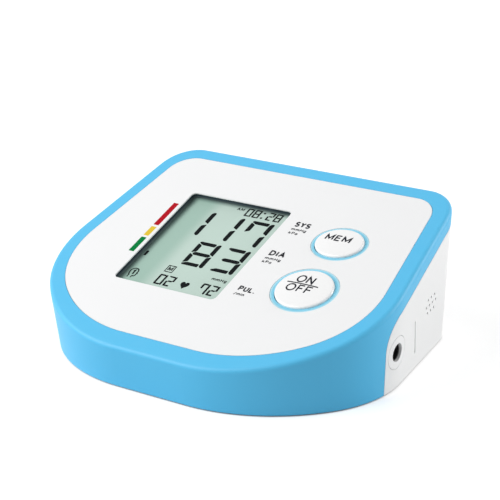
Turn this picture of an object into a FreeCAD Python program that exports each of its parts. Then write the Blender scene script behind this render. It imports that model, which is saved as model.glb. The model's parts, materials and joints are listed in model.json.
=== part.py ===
import FreeCAD, Part
import math
import os
import re
import Sketcher

# Upper-arm blood pressure monitor, millimetres.
# X points to the user's right, Y to the rear, Z up. The feet stand on Z = 0, under the middle of the case.

SIZES = [
    # Case outline at the bottom edge and the drafted walls
    ("case_lift", 0.6),
    ("case_draft", 5.0),
    ("case_tall", 60.0),
    ("case_rear", 44.9),
    ("case_flat", 47.5),
    ("case_corner", 9.6),
    ("case_lean", 10.8),
    ("case_side", 37.2),
    ("case_shoulder", 33.0),
    ("case_front_flat", 14.2),
    ("case_front", 55.6),
    ("wall", 2.0),
    ("floor_thick", 2.0),
    ("edge_round", 1.5),
    ("edge_touch", 0.05),
    ("overrun", 5.0),
    ("reach", 160.0),
    # Sloped panel plane: its height over the case bottom at Y = 0
    ("panel_height", 31.36),
    ("panel_slope", 19.45),
    ("plate_thick", 1.5),
    ("plate_gap", 0.15),
    ("plate_rear", 45.5),
    ("plate_flat", 45.6),
    ("plate_corner", 9.4),
    ("plate_lean", 8.4),
    ("plate_side", 38.8),
    ("plate_shoulder", 32.9),
    ("plate_front_flat", 14.8),
    ("plate_front", 52.9),
    ("deck_depth", 3.5),
    # Seam between the blue upper case and the white lower case
    ("seam_front", 9.3),
    ("seam_depth", 5.0),
    ("seam_round", 12.0),
    ("seam_gap", 0.2),
    ("tongue_gap", 0.25),
    ("tongue_overlap", 3.0),
    # Display window and the parts under it, in panel coordinates
    ("window_x", -14.95),
    ("window_v", 3.22),
    ("window_wide", 42.8),
    ("window_long", 48.2),
    ("window_round", 1.8),
    ("window_lip", 0.45),
    ("sleeve_wall", 0.8),
    ("sleeve_gap", 0.1),
    ("glass_depth", 2.1),
    ("glass_ledge", 0.4),
    ("glass_gap", 0.1),
    ("glass_thick", 2.2),
    ("reflector_thick", 0.4),
    ("reflector_margin", 3.0),
    ("holder_rim", 3.6),
    ("strip_deep", 2.2),
    ("strip_inset", 0.3),
    # Main board, in panel coordinates
    ("board_depth", 8.0),
    ("board_thick", 1.6),
    ("board_left", -41.0),
    ("board_right", 51.0),
    ("board_front", -26.0),
    ("board_rear", 31.0),
    ("board_post_near_x", 14.5),
    ("board_post_far_x", 47.0),
    ("board_post_front", -21.0),
    ("board_post_rear", 27.0),
    ("board_post_radius", 2.5),
    ("board_hole_radius", 1.15),
    ("board_screw_radius", 1.05),
    ("board_screw_length", 5.5),
    ("board_head_radius", 2.2),
    ("board_head_thick", 1.4),
    ("post_root", 0.1),
    ("chip_x", 18.0),
    ("chip_v", 2.0),
    ("chip_wide", 12.0),
    ("chip_thick", 1.6),
    # Buttons, in panel coordinates
    ("power_x", 33.7),
    ("power_v", -7.45),
    ("power_wide", 10.2),
    ("power_deep", 9.1),
    ("power_ring_wide", 12.0),
    ("power_ring_deep", 10.7),
    ("mem_x", 32.3),
    ("mem_v", 16.5),
    ("mem_wide", 8.85),
    ("mem_deep", 6.95),
    ("mem_ring_wide", 10.4),
    ("mem_ring_deep", 8.4),
    ("cap_gap", 0.3),
    ("ring_gap", 0.1),
    ("ring_sink", 0.1),
    ("dome_top", 1.3),
    ("dome_radius", 9.0),
    ("dome_spread_share", 2.8),
    ("cap_round", 0.6),
    ("flange_margin", 1.2),
    ("flange_gap", 0.3),
    ("flange_thick", 1.0),
    ("stem_radius", 2.2),
    ("stem_length", 1.0),
    ("plunger_radius", 1.6),
    ("plunger_length", 1.4),
    ("switch_wide", 6.0),
    ("switch_tall", 1.4),
    ("switch_gap", 0.3),
    # Battery bay and cover
    ("bay_left", -45.0),
    ("bay_right", 1.0),
    ("bay_rear", 39.4),
    ("spring_room", 3.7),
    ("bay_wall", 1.2),
    ("bay_roof", 14.4),
    ("cell_pitch", 11.0),
    ("cell_first_x", -38.5),
    ("cell_height", 8.5),
    ("cell_radius", 5.2),
    ("cell_length", 43.7),
    ("nub_radius", 1.9),
    ("nub_length", 0.8),
    ("contact_thick", 0.4),
    ("contact_half", 4.2),
    ("contact_tall", 8.4),
    ("spring_radius", 2.8),
    ("spring_wire", 0.35),
    ("spring_turns", 3.0),
    ("tab_wide", 2.4),
    ("tab_thick", 0.6),
    ("tab_reach", 2.4),
    ("tab_gap", 0.2),
    ("cover_gap", 0.35),
    ("cover_thick", 1.7),
    ("hinge_out", 1.3),
    ("hinge_rise", 0.9),
    ("knuckle_radius", 0.85),
    ("knuckle_long", 6.0),
    ("knuckle_left_x", -34.0),
    ("knuckle_right_x", -10.0),
    ("pin_radius", 0.6),
    ("pin_length", 1.2),
    ("pin_gap", 0.05),
    ("pin_end_gap", 0.3),
    ("notch_gap", 0.35),
    ("ear_margin", 2.4),
    ("ear_tall", 4.0),
    ("latch_wide", 8.0),
    ("latch_reach", 1.2),
    ("latch_thick", 0.9),
    ("latch_x", -22.0),
    ("grip_tall", 0.5),
    ("grip_deep", 1.0),
    ("grip_pitch", 2.2),
    # Air pump
    ("pump_y", 27.0),
    ("pump_z", 15.2),
    ("pump_gap", 0.7),
    ("motor_length", 20.0),
    ("motor_radius", 10.1),
    ("motor_bore", 1.05),
    ("sleeve_thick", 1.5),
    ("sleeve_margin", 2.0),
    ("head_length", 17.0),
    ("head_half", 10.8),
    ("chamber_radius", 7.5),
    ("chamber_length", 10.0),
    ("shaft_radius", 1.0),
    ("shaft_inside", 6.0),
    ("shaft_outside", 8.5),
    ("crank_radius", 4.0),
    ("crank_length", 4.0),
    ("crank_offset", 1.2),
    ("crank_gap", 1.5),
    ("outlet_inset", 9.0),
    ("outlet_z", 13.0),
    ("cradle_thick", 2.0),
    ("cradle_half", 10.0),
    ("cradle_top", 9.5),
    ("cradle_inset", 1.0),
    # Air fittings: socket, manifold, valve and tubes
    ("nipple_radius", 2.0),
    ("nipple_bore", 1.1),
    ("tube_wall", 1.1),
    ("tube_margin", 0.5),
    ("tube_gap", 0.05),
    ("seat_gap", 0.15),
    ("socket_y", -2.4),
    ("socket_z", 13.0),
    ("socket_radius", 5.5),
    ("socket_bore", 3.1),
    ("socket_floor", 56.5),
    ("socket_back", 55.0),
    ("socket_tail", 51.0),
    ("manifold_left", 33.0),
    ("manifold_right", 46.0),
    ("manifold_front", -5.0),
    ("manifold_rear", 5.0),
    ("manifold_low", 5.0),
    ("manifold_high", 16.6),
    ("manifold_foot", 3.0),
    ("nipple_length", 4.0),
    ("sensor_nipple_y", -1.5),
    ("sensor_nipple_z", 10.5),
    ("valve_x", 42.0),
    ("valve_z", 8.6),
    ("valve_front", -29.0),
    ("valve_rear", -13.0),
    ("valve_radius", 5.0),
    ("valve_bore", 1.6),
    ("valve_bore_depth", 11.0),
    ("valve_cheek", 1.2),
    ("valve_cheek_radius", 5.6),
    ("plunger_rod", 1.55),
    ("plunger_out", 2.4),
    ("plunger_in", 8.5),
    ("plunger_disc", 2.6),
    ("plunger_disc_thick", 0.8),
    ("saddle_half", 4.0),
    ("saddle_top", 6.4),
    ("saddle_thick", 2.0),
    ("saddle_front", -25.5),
    ("saddle_rear", -19.5),
    ("sensor_wide", 7.0),
    ("sensor_tall", 3.6),
    ("sensor_port_length", 2.2),
    ("sensor_x", 25.0),
    ("hose_bend", 4.0),
    # Buzzer and the sound holes in the right wall
    ("buzzer_y", 25.5),
    ("buzzer_z", 18.7),
    ("buzzer_radius", 5.6),
    ("buzzer_back", 52.4),
    ("buzzer_thick", 3.4),
    ("buzzer_ring", 1.0),
    ("buzzer_step", 1.0),
    ("sound_hole", 0.5),
    ("sound_pitch", 2.8),
    ("sound_rise", 2.35),
    # Shallow finger groove in the right wall
    ("groove_y", 12.7),
    ("groove_z", 12.0),
    ("groove_wide", 0.9),
    ("groove_tall", 12.0),
    ("groove_deep", 0.8),
    ("groove_tilt", 6.9),
    # Case screws, posts and feet
    ("post_front_x", 34.0),
    ("post_front_y", -36.0),
    ("post_rear_x", 50.3),
    ("post_rear_y", 36.0),
    ("post_radius", 3.2),
    ("post_bottom", 6.0),
    ("post_hole", 1.25),
    ("post_hole_depth", 7.0),
    ("tower_radius", 3.6),
    ("tower_seat", 4.2),
    ("tower_hole", 1.4),
    ("counterbore", 2.8),
    ("screw_radius", 1.2),
    ("screw_length", 8.0),
    ("screw_head", 2.4),
    ("screw_head_thick", 1.5),
    ("driver_long", 2.8),
    ("driver_wide", 0.7),
    ("driver_deep", 0.8),
    ("foot_front_x", 26.0),
    ("foot_front_y", -34.0),
    ("foot_rear_x", 51.5),
    ("foot_rear_y", 25.0),
    ("foot_radius", 4.0),
    ("foot_seat", 0.8),
    # Wire leads
    ("lead_radius", 0.6),
    ("lead_bend", 1.6),
    ("lead_run", 5.0),
    ("pump_lead_half", 3.0),
    ("pump_lead_z", 18.0),
    ("valve_lead_rear", -15.5),
    ("valve_lead_front", -18.0),
    ("battery_lead_run", 4.0),
    ("buzzer_lead_run", 3.0),
    ("buzzer_lead_z", 21.5),
]

doc = FreeCAD.newDocument("pressure_monitor")
sheet = doc.addObject("Spreadsheet::Sheet", "sizes")
for row, (alias, amount) in enumerate(SIZES, start=1):
    sheet.set("A%d" % row, alias)
    sheet.set("B%d" % row, str(amount))
    sheet.setAlias("B%d" % row, alias)
# Sizes that follow from others
FOLLOWING = [
    ("bay_front", "bay_rear - 2 * contact_thick - cell_length - nub_length - spring_room"),
]
for row, (alias, rule) in enumerate(FOLLOWING, start=len(SIZES) + 1):
    sheet.set("A%d" % row, alias)
    sheet.set("B%d" % row, "=" + rule)
    sheet.setAlias("B%d" % row, alias)
doc.recompute()
NAMES = {alias for alias, amount in SIZES + FOLLOWING}
size = {alias: float(sheet.get(alias)) for alias in NAMES}
nodes = []

X_AXIS = FreeCAD.Vector(1, 0, 0)
Y_AXIS = FreeCAD.Vector(0, 1, 0)
Z_AXIS = FreeCAD.Vector(0, 0, 1)
AIM = {
    "z": FreeCAD.Rotation(),
    "x": FreeCAD.Rotation(Y_AXIS, 90),
    "-x": FreeCAD.Rotation(Y_AXIS, -90),
    "y": FreeCAD.Rotation(X_AXIS, -90),
    "-y": FreeCAD.Rotation(X_AXIS, 90),
}


def formula(text):
    """A formula in plain size names, written for the sheet."""
    return re.sub(r"[a-z_]+", lambda hit: "sizes." + hit.group(0), text)


def bind(thing, prop, text):
    thing.setExpression(prop, formula(text))


def place(thing, at):
    for axis, text in zip("xyz", at):
        bind(thing, "Placement.Base." + axis, text)
    return thing


def block(name, x, y, z):
    """A box between pairs of low and high formulas."""
    thing = doc.addObject("Part::Box", name)
    for prop, (low, high) in zip(("Length", "Width", "Height"), (x, y, z)):
        bind(thing, prop, "(%s) - (%s)" % (high, low))
    return place(thing, (x[0], y[0], z[0]))


def middle_block(name, x, y, wide, deep, z):
    """A box centred on x and y."""
    spans = [("%s - (%s) / 2" % (mid, span), "%s + (%s) / 2" % (mid, span))
             for mid, span in ((x, wide), (y, deep))]
    return block(name, spans[0], spans[1], z)


def rod(name, radius, aim, at, length):
    thing = doc.addObject("Part::Cylinder", name)
    bind(thing, "Radius", radius)
    bind(thing, "Height", length)
    thing.Placement = FreeCAD.Placement(FreeCAD.Vector(), AIM[aim])
    return place(thing, at)


def oval(name, at, wide, deep, low, high):
    """An upright elliptical prism between two heights."""
    edge = doc.addObject("Part::Ellipse", name + "_edge")
    bind(edge, "MajorRadius", wide)
    bind(edge, "MinorRadius", deep)
    place(edge, (at[0], at[1], low))
    return raise_up(name, edge, "(%s) - (%s)" % (high, low))


def raise_up(name, outline, tall, draft=None):
    thing = doc.addObject("Part::Extrusion", name)
    thing.Base = outline
    thing.DirMode = "Custom"
    thing.Dir = Z_AXIS
    thing.Solid = True
    bind(thing, "LengthFwd", tall)
    if draft:
        bind(thing, "TaperAngle", draft)
    return thing


def join(name, *things):
    thing = doc.addObject("Part::MultiFuse", name)
    thing.Shapes = list(things)
    return thing


def cut(name, base, *tools):
    tool = tools[0] if len(tools) == 1 else join(name + "_tools", *tools)
    thing = doc.addObject("Part::Cut", name)
    thing.Base = base
    thing.Tool = tool
    return thing


def overlap(name, base, tool):
    thing = doc.addObject("Part::Common", name)
    thing.Base = base
    thing.Tool = tool
    return thing


def single(name, thing):
    """One plain thing under its own name, free to be placed."""
    alone = doc.addObject("Part::Refine", name)
    alone.Source = thing
    return alone


def on_panel(thing):
    """Turns a thing made in panel coordinates onto the sloped panel plane."""
    thing.Placement = FreeCAD.Placement(FreeCAD.Vector(), FreeCAD.Rotation(X_AXIS, size["panel_slope"]))
    bind(thing, "Placement.Base.z", "panel_height + case_lift")
    bind(thing, "Placement.Rotation.Angle", "panel_slope")
    return thing


def panel_slab(name, low, high):
    """A wide slab between two heights over the panel plane."""
    slab = block(name + "_slab", ("-reach", "reach"), ("-reach", "reach"), (low, high))
    return on_panel(single(name, slab))


def node(thing, label):
    thing.Label = label
    nodes.append(thing)
    return thing


def rounded(name, base, radius, wanted):
    """Rounds the edges that the wanted test picks."""
    doc.recompute()
    thing = doc.addObject("Part::Fillet", name)
    thing.Base = base
    picks = [index for index, edge in enumerate(base.Shape.Edges, start=1) if wanted(edge)]
    thing.Edges = [(index, radius, radius) for index in picks]
    return thing


def is_upright(edge):
    first, last = (vertex.Point for vertex in edge.Vertexes)
    return first.x == last.x and first.y == last.y


def outline(name, family, sign="-", insets=()):
    """A D-shaped closed sketch: flat rear, leaning sides, two-arc corners, flat front.

    The sizes named in insets draw it in (sign -) or out (sign +) by their sum.
    """
    change = sum(size[word] for word in insets) * (1 if sign == "+" else -1)
    extra = "".join(" %s %s" % (sign, word) for word in insets)
    rear = size[family + "_rear"] + change
    flat = size[family + "_flat"]
    corner = size[family + "_corner"] + change
    lean = math.radians(size[family + "_lean"])
    side = size[family + "_side"]
    shoulder = size[family + "_shoulder"] + change
    front = size[family + "_front"] + change
    front_flat = size[family + "_front_flat"]
    out = FreeCAD.Vector(math.cos(lean), math.sin(lean), 0)
    along = FreeCAD.Vector(math.sin(lean), -math.cos(lean), 0)
    corner_mid = FreeCAD.Vector(flat, rear - corner, 0)
    side_top = corner_mid + out * corner
    side_end = side_top + along * side
    shoulder_mid = side_end - out * shoulder
    swing = -math.acos((front_flat - shoulder_mid.x) / (shoulder - front))
    swing_out = FreeCAD.Vector(math.cos(swing), math.sin(swing), 0)
    front_mid = shoulder_mid + swing_out * (shoulder - front)
    front_end = front_mid - Y_AXIS * front

    def flip(point):
        return FreeCAD.Vector(-point.x, point.y, 0)

    def arc(middle, radius, low, high):
        return Part.ArcOfCircle(Part.Circle(middle, Z_AXIS, radius), low, high)

    half_turn = math.pi
    quarter = math.pi / 2
    sketch = doc.addObject("Sketcher::SketchObject", name)
    shapes = [
        Part.LineSegment(FreeCAD.Vector(-flat, rear, 0), FreeCAD.Vector(flat, rear, 0)),
        arc(corner_mid, corner, lean, quarter),
        Part.LineSegment(side_top, side_end),
        arc(shoulder_mid, shoulder, swing, lean),
        arc(front_mid, front, -quarter, swing),
        Part.LineSegment(flip(front_end), front_end),
        arc(flip(front_mid), front, half_turn - swing, half_turn + quarter),
        arc(flip(shoulder_mid), shoulder, half_turn - lean, half_turn - swing),
        Part.LineSegment(flip(side_top), flip(side_end)),
        arc(flip(corner_mid), corner, quarter, half_turn - lean),
    ]
    sketch.addGeometry(shapes, False)
    meets = [(0, 2, 1, 2), (1, 1, 2, 1), (2, 2, 3, 2), (3, 1, 4, 2), (4, 1, 5, 2)]
    meets += [(5, 1, 6, 2), (6, 1, 7, 2), (7, 1, 8, 2), (8, 1, 9, 2), (9, 1, 0, 1)]
    for first, first_end, second, second_end in meets:
        sketch.addConstraint(Sketcher.Constraint("Tangent", first, first_end, second, second_end))
    for right, left in ((1, 9), (3, 7), (4, 6)):
        sketch.addConstraint(Sketcher.Constraint("Equal", right, left))
    sketch.addConstraint(Sketcher.Constraint("Symmetric", 0, 1, 0, 2, -2))
    sketch.addConstraint(Sketcher.Constraint("Symmetric", 2, 2, 8, 2, -2))
    sketch.addConstraint(Sketcher.Constraint("Horizontal", 5))
    driven = [
        ("corner", Sketcher.Constraint("Radius", 1, corner), family + "_corner" + extra),
        ("shoulder", Sketcher.Constraint("Radius", 3, shoulder), family + "_shoulder" + extra),
        ("front", Sketcher.Constraint("Radius", 4, front), family + "_front" + extra),
        ("rear", Sketcher.Constraint("DistanceY", -1, 1, 0, 2, rear), family + "_rear" + extra),
        ("flat", Sketcher.Constraint("DistanceX", -1, 1, 0, 2, flat), family + "_flat"),
        ("side", Sketcher.Constraint("Distance", 2, side), family + "_side"),
        ("lean", Sketcher.Constraint("Angle", 2, lean - quarter), family + "_lean - 90"),
        ("front_flat", Sketcher.Constraint("DistanceX", -1, 1, 4, 3, front_flat), family + "_front_flat"),
    ]
    for word, rule, text in driven:
        index = sketch.addConstraint(rule)
        sketch.renameConstraint(index, word)
        bind(sketch, "Constraints." + word, text)
    return sketch


# Panel directions as plain vectors, for the leads and hoses
slope = math.radians(size["panel_slope"])
PANEL_OUT = FreeCAD.Vector(0, -math.sin(slope), math.cos(slope))
PANEL_UP = FreeCAD.Vector(0, math.cos(slope), math.sin(slope))
PANEL_HOME = FreeCAD.Vector(0, 0, size["panel_height"] + size["case_lift"])


def depth_of(point):
    """How far a point lies above the panel plane (below it is negative)."""
    return (point - PANEL_HOME).dot(PANEL_OUT)


def bent_path(start, turn, end, bend):
    """Two straight runs with a tangent arc where they meet."""
    first = (turn - start).normalize()
    second = (end - turn).normalize()
    half = first.getAngle(second) / 2
    back = bend * math.tan(half)
    enter = turn - first * back
    leave = turn + second * back
    inward = (second - first).normalize()
    middle = turn + inward * (bend / math.cos(half))
    halfway = middle - inward * bend
    return Part.Wire([
        Part.makeLine(start, enter),
        Part.Arc(enter, halfway, leave).toShape(),
        Part.makeLine(leave, end),
    ])


def bent_rod(path, start, aim, radius):
    ring = Part.Wire([Part.makeCircle(radius, start, aim)])
    return path.makePipeShell([ring], True, False)


def bent_piece(name, start, turn, end, bend, radius, bore=None):
    """A wire lead, or a hose when it has a bore, along two runs and a bend."""
    path = bent_path(start, turn, end, bend)
    aim = turn - start
    shape = bent_rod(path, start, aim, radius)
    if bore:
        shape = shape.cut(bent_rod(path, start, aim, bore))
    thing = doc.addObject("Part::Feature", name)
    thing.Shape = shape
    thing.Placement = FreeCAD.Placement()
    return node(thing, name)


def lead_to_board(name, start, run):
    """A lead that leaves along run, then climbs square to the board's underside."""
    turn = start + run
    climb = -(size["board_depth"] + size["board_thick"]) - depth_of(turn)
    return bent_piece(name, start, turn, turn + PANEL_OUT * climb, size["lead_bend"], size["lead_radius"])


# Drafted envelope of the whole case, trimmed by the sloped panel plane, with a rounded top edge
case_outline = outline("case_outline", "case")
bind(case_outline, "Placement.Base.z", "case_lift")
draft_body = raise_up("draft_body", case_outline, "case_tall", "case_draft")
above_panel = panel_slab("above_panel", "0", "reach")
sharp_case = cut("sharp_case", draft_body, above_panel)


def on_top_edge(edge):
    return all(abs(depth_of(vertex.Point)) < size["edge_touch"] for vertex in edge.Vertexes)


envelope = rounded("envelope", sharp_case, size["edge_round"], on_top_edge)


def drafted_inner(name, insets):
    """The drafted body of the case drawn in by the named sizes."""
    line = outline(name + "_line", "case", "-", insets)
    bind(line, "Placement.Base.z", "case_lift")
    return raise_up(name, line, "case_tall", "case_draft")


inner_body = drafted_inner("inner_body", ("wall",))
tongue_body = drafted_inner("tongue_body", ("wall", "tongue_gap"))
skin_body = drafted_inner("skin_body", ("groove_deep",))


def lower_zone(name, gap):
    """The room of the lower case: below the seam slope and behind the seam's front line."""
    under = panel_slab(name + "_under", "-reach", "-(seam_depth + %s)" % gap)
    behind = block(name + "_behind", ("-reach", "reach"), ("-seam_front + %s" % gap, "reach"),
                   ("-reach", "reach"))
    sharp = overlap(name + "_sharp", under, behind)

    def front_top(edge):
        level = size["seam_front"] + size["overrun"]
        return all(abs(v.Y) < level and v.Z > 0 for v in edge.Vertexes) and edge.Length > size["reach"]

    return rounded(name, sharp, size["seam_round"], front_top)


zone_upper = lower_zone("zone_upper", "0")
zone_lower = lower_zone("zone_lower", "seam_gap")

# Upper case: rim, deck, front skirt, button rings, board posts and case posts
above_deck = panel_slab("above_deck", "-deck_depth", "reach")
cavity = cut("cavity", inner_body, above_deck)
upper_solid = cut("upper_solid", envelope, zone_upper)
upper_shell = cut("upper_shell", upper_solid, cavity)
plate_outline = outline("plate_outline", "plate")
recess_line = outline("recess_line", "plate", "+", ("plate_gap",))
recess = raise_up("recess", recess_line, "plate_thick + overrun")
bind(recess, "Placement.Base.z", "-plate_thick")
recess_placed = on_panel(single("recess_placed", recess))
upper_open = cut("upper_open", upper_shell, recess_placed)

BUTTONS = ("power", "mem")
BOARD_POSTS = [(x, y) for x in ("board_post_near_x", "board_post_far_x")
               for y in ("board_post_front", "board_post_rear")]
CASE_POSTS = [(sign + "post_%s_x" % end, "post_%s_y" % end)
              for end in ("front", "rear") for sign in ("", "-")]
rings = [oval(b + "_ring", (b + "_x", b + "_v"), b + "_ring_wide - ring_gap", b + "_ring_deep - ring_gap",
              "-deck_depth", "-ring_sink") for b in BUTTONS]
board_posts = [rod("board_post_%d" % i, "board_post_radius", "z", (x, y, "-board_depth"),
                   "board_depth - deck_depth + post_root") for i, (x, y) in enumerate(BOARD_POSTS)]
panel_adds = on_panel(join("panel_adds", *rings, *board_posts))
tall_posts = join("tall_posts", *[rod("tall_post_%d" % i, "post_radius", "z", (x, y, "post_bottom"),
                                      "case_tall")
                                  for i, (x, y) in enumerate(CASE_POSTS)])
above_posts = panel_slab("above_posts", "-(deck_depth + plate_thick) / 2", "reach")
case_posts = cut("case_posts", tall_posts, above_posts)
upper_full = join("upper_full", upper_open, panel_adds, case_posts)
cap_holes = [oval(b + "_hole", (b + "_x", b + "_v"), b + "_wide + cap_gap", b + "_deep + cap_gap",
                  "-(deck_depth + overrun)", "overrun") for b in BUTTONS]
deck_window = middle_block("deck_window", "window_x", "window_v",
                           "window_wide + 2 * (sleeve_wall + sleeve_gap)",
                           "window_long + 2 * (sleeve_wall + sleeve_gap)",
                           ("-(deck_depth + overrun)", "overrun"))
post_bores = [rod("post_bore_%d" % i, "board_hole_radius", "z", (x, y, "-(board_depth + overrun)"),
                  "overrun + board_depth - deck_depth") for i, (x, y) in enumerate(BOARD_POSTS)]
panel_cuts = on_panel(join("panel_cuts", *cap_holes, deck_window, *post_bores))
case_bores = [rod("case_bore_%d" % i, "post_hole", "z", (x, y, "post_bottom - overrun"),
                  "overrun + post_hole_depth")
              for i, (x, y) in enumerate(CASE_POSTS)]
upper_case = node(cut("upper_case", upper_full, panel_cuts, *case_bores), "upper_case")

# White face plate with the stepped display window and the two button openings
plate_body = raise_up("plate_body", plate_outline, "plate_thick")
bind(plate_body, "Placement.Base.z", "-plate_thick")
plate_window = rounded("plate_window", middle_block("plate_opening", "window_x", "window_v", "window_wide",
                                                    "window_long", ("-(plate_thick + overrun)", "overrun")),
                       size["window_round"], is_upright)
plate_step = middle_block("plate_step", "window_x", "window_v",
                          "window_wide + 2 * (sleeve_wall + sleeve_gap)",
                          "window_long + 2 * (sleeve_wall + sleeve_gap)",
                          ("-(plate_thick + overrun)", "-window_lip"))
plate_holes = [oval(b + "_plate_hole", (b + "_x", b + "_v"), b + "_ring_wide", b + "_ring_deep",
                    "-(plate_thick + overrun)", "overrun") for b in BUTTONS]
node(on_panel(cut("face_plate", plate_body, plate_window, plate_step, *plate_holes)), "face_plate")

# Display: dark sleeve and holder, glass, reflector and the contact strip down to the board
sleeve = middle_block("sleeve", "window_x", "window_v", "window_wide + 2 * sleeve_wall",
                      "window_long + 2 * sleeve_wall", ("-(deck_depth + post_root)", "-window_lip"))
holder = middle_block("holder", "window_x", "window_v", "window_wide + 2 * holder_rim",
                      "window_long + 2 * holder_rim", ("-board_depth", "-deck_depth"))
frame_solid = join("frame_solid", sleeve, holder)
view_hole = rounded("view_hole", middle_block("view_opening", "window_x", "window_v", "window_wide",
                                              "window_long",
                                              ("-(board_depth + overrun)", "overrun")),
                    size["window_round"], is_upright)
glass_pocket = middle_block("glass_pocket", "window_x", "window_v", "window_wide + 2 * glass_ledge",
                            "window_long + 2 * glass_ledge", ("-(board_depth + overrun)", "-glass_depth"))
node(on_panel(cut("lcd_frame", frame_solid, view_hole, glass_pocket)), "lcd_frame")
GLASS_LOW = "-(glass_depth + glass_thick)"
glass_wide = "window_wide + 2 * (glass_ledge - glass_gap)"
glass_long = "window_long + 2 * (glass_ledge - glass_gap)"
node(on_panel(single("lcd_glass", middle_block("glass_sheet", "window_x", "window_v", glass_wide, glass_long,
                                             (GLASS_LOW, "-glass_depth")))), "lcd_glass")
node(on_panel(single("lcd_reflector", middle_block(
    "reflector_sheet", "window_x", "window_v", glass_wide, glass_long + " - 2 * reflector_margin",
    (GLASS_LOW + " - reflector_thick", GLASS_LOW)))), "lcd_reflector")
strip_front = "window_v - window_long / 2 + strip_inset"
node(on_panel(single("contact_strip", block(
    "strip_bar", ("window_x - window_wide / 2 + strip_inset", "window_x + window_wide / 2 - strip_inset"),
    (strip_front, strip_front + " + strip_deep"), ("-board_depth", GLASS_LOW)))), "contact_strip")

# Main board with its screws, chip and pressure sensor
BOARD_LOW = "-(board_depth + board_thick)"
board_sheet = block("board_sheet", ("board_left", "board_right"), ("board_front", "board_rear"),
                    (BOARD_LOW, "-board_depth"))
board_holes = [rod("board_hole_%d" % i, "board_hole_radius", "z", (x, y, BOARD_LOW + " - overrun"),
                   "board_thick + 2 * overrun") for i, (x, y) in enumerate(BOARD_POSTS)]
node(on_panel(cut("main_board", board_sheet, *board_holes)), "main_board")
for i, (x, y) in enumerate(BOARD_POSTS):
    head = rod("board_head_%d" % i, "board_head_radius", "z", (x, y, BOARD_LOW + " - board_head_thick"),
               "board_head_thick")
    shank = rod("board_shank_%d" % i, "board_screw_radius", "z",
                (x, y, BOARD_LOW + " - board_head_thick / 2"),
                "board_screw_length")
    node(on_panel(join("board_screw_%d" % i, head, shank)), "board_screw_%d" % (i + 1))
node(on_panel(single("control_chip", middle_block(
    "chip_block", "chip_x", "chip_v", "chip_wide", "chip_wide",
    (BOARD_LOW + " - chip_thick", BOARD_LOW)))), "control_chip")


def is_crown_rim(edge):
    """The upper rim of a button cap."""
    return edge.BoundBox.ZMin > 0


# Push buttons: domed cap, flange under the deck, stem, and the switch below with its plunger
for b in BUTTONS:
    spot = (b + "_x", b + "_v")
    stub = oval(b + "_stub", spot, b + "_wide", b + "_deep", "-(deck_depth + flange_gap)", "dome_top")
    dome = doc.addObject("Part::Ellipsoid", b + "_dome")
    bind(dome, "Radius1", "dome_radius")
    bind(dome, "Radius2", b + "_wide * dome_spread_share")
    bind(dome, "Radius3", b + "_deep * dome_spread_share")
    place(dome, spot + ("dome_top - dome_radius",))
    cap = rounded(b + "_cap", overlap(b + "_crown", stub, dome), size["cap_round"], is_crown_rim)
    flange_low = "-(deck_depth + flange_gap + flange_thick)"
    flange = oval(b + "_flange", spot, b + "_wide + flange_margin", b + "_deep + flange_margin", flange_low,
                  "-(deck_depth + flange_gap)")
    stem_low = flange_low + " - stem_length"
    stem = rod(b + "_stem", "stem_radius", "z", spot + (stem_low,), "stem_length + flange_thick / 2")
    node(on_panel(join(b + "_button", cap, flange, stem)), b + "_button")
    node(on_panel(single(b + "_plunger", rod(b + "_plunger_rod", "plunger_radius", "z",
                                           spot + (stem_low + " - plunger_length",), "plunger_length"))),
         b + "_plunger")
    body = middle_block(b + "_switch_body", b + "_x", b + "_v", "switch_wide", "switch_wide",
                        ("-board_depth", "-board_depth + switch_tall"))
    well = rod(b + "_switch_well", "plunger_radius + switch_gap", "z", spot + ("-board_depth - overrun",),
               "switch_tall + 2 * overrun")
    node(on_panel(cut(b + "_switch", body, well)), b + "_switch")

# Lower case: side and rear walls, floor, battery bay, towers, cradles and wall openings
FLOOR_TOP = "case_lift + floor_thick"
above_floor = block("above_floor", ("-reach", "reach"), ("-reach", "reach"), (FLOOR_TOP, "reach"))
room = overlap("room", inner_body, above_floor)
lower_solid = overlap("lower_solid", envelope, zone_lower)
lower_shell = cut("lower_shell", lower_solid, room)
tongue_zone = block("tongue_zone", ("-reach", "reach"), ("-reach", "-seam_front + tongue_overlap"),
                    ("case_lift", FLOOR_TOP))
tongue = overlap("tongue", tongue_body, tongue_zone)
bay_block = block("bay_block", ("bay_left - bay_wall", "bay_right + bay_wall"),
                  ("bay_front - bay_wall", "bay_rear + bay_wall"), ("case_lift", "bay_roof + bay_wall"))
HINGE_Y = "bay_front - hinge_out"
HINGE_Z = "case_lift + hinge_rise"
KNUCKLES = ("knuckle_left_x", "knuckle_right_x")
ears = [middle_block("ear_%d" % i, x, HINGE_Y, "knuckle_long + 2 * (notch_gap + pin_length + ear_margin)",
                     "2 * ear_margin", ("case_lift", "case_lift + ear_tall"))
        for i, x in enumerate(KNUCKLES)]
towers = [rod("tower_%d" % i, "tower_radius", "z", (x, y, "case_lift"), "post_bottom - case_lift")
          for i, (x, y) in enumerate(CASE_POSTS)]
HEAD_RIGHT = "post_rear_x - tower_radius - pump_gap"
HEAD_LEFT = HEAD_RIGHT + " - head_length"
MOTOR_LEFT = HEAD_LEFT + " - motor_length"
OUTLET_X = HEAD_RIGHT + " - outlet_inset"
SLEEVE_LEFT = MOTOR_LEFT + " + sleeve_margin"
SLEEVE_LENGTH = "motor_length - 2 * sleeve_margin"
cradles = []
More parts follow.
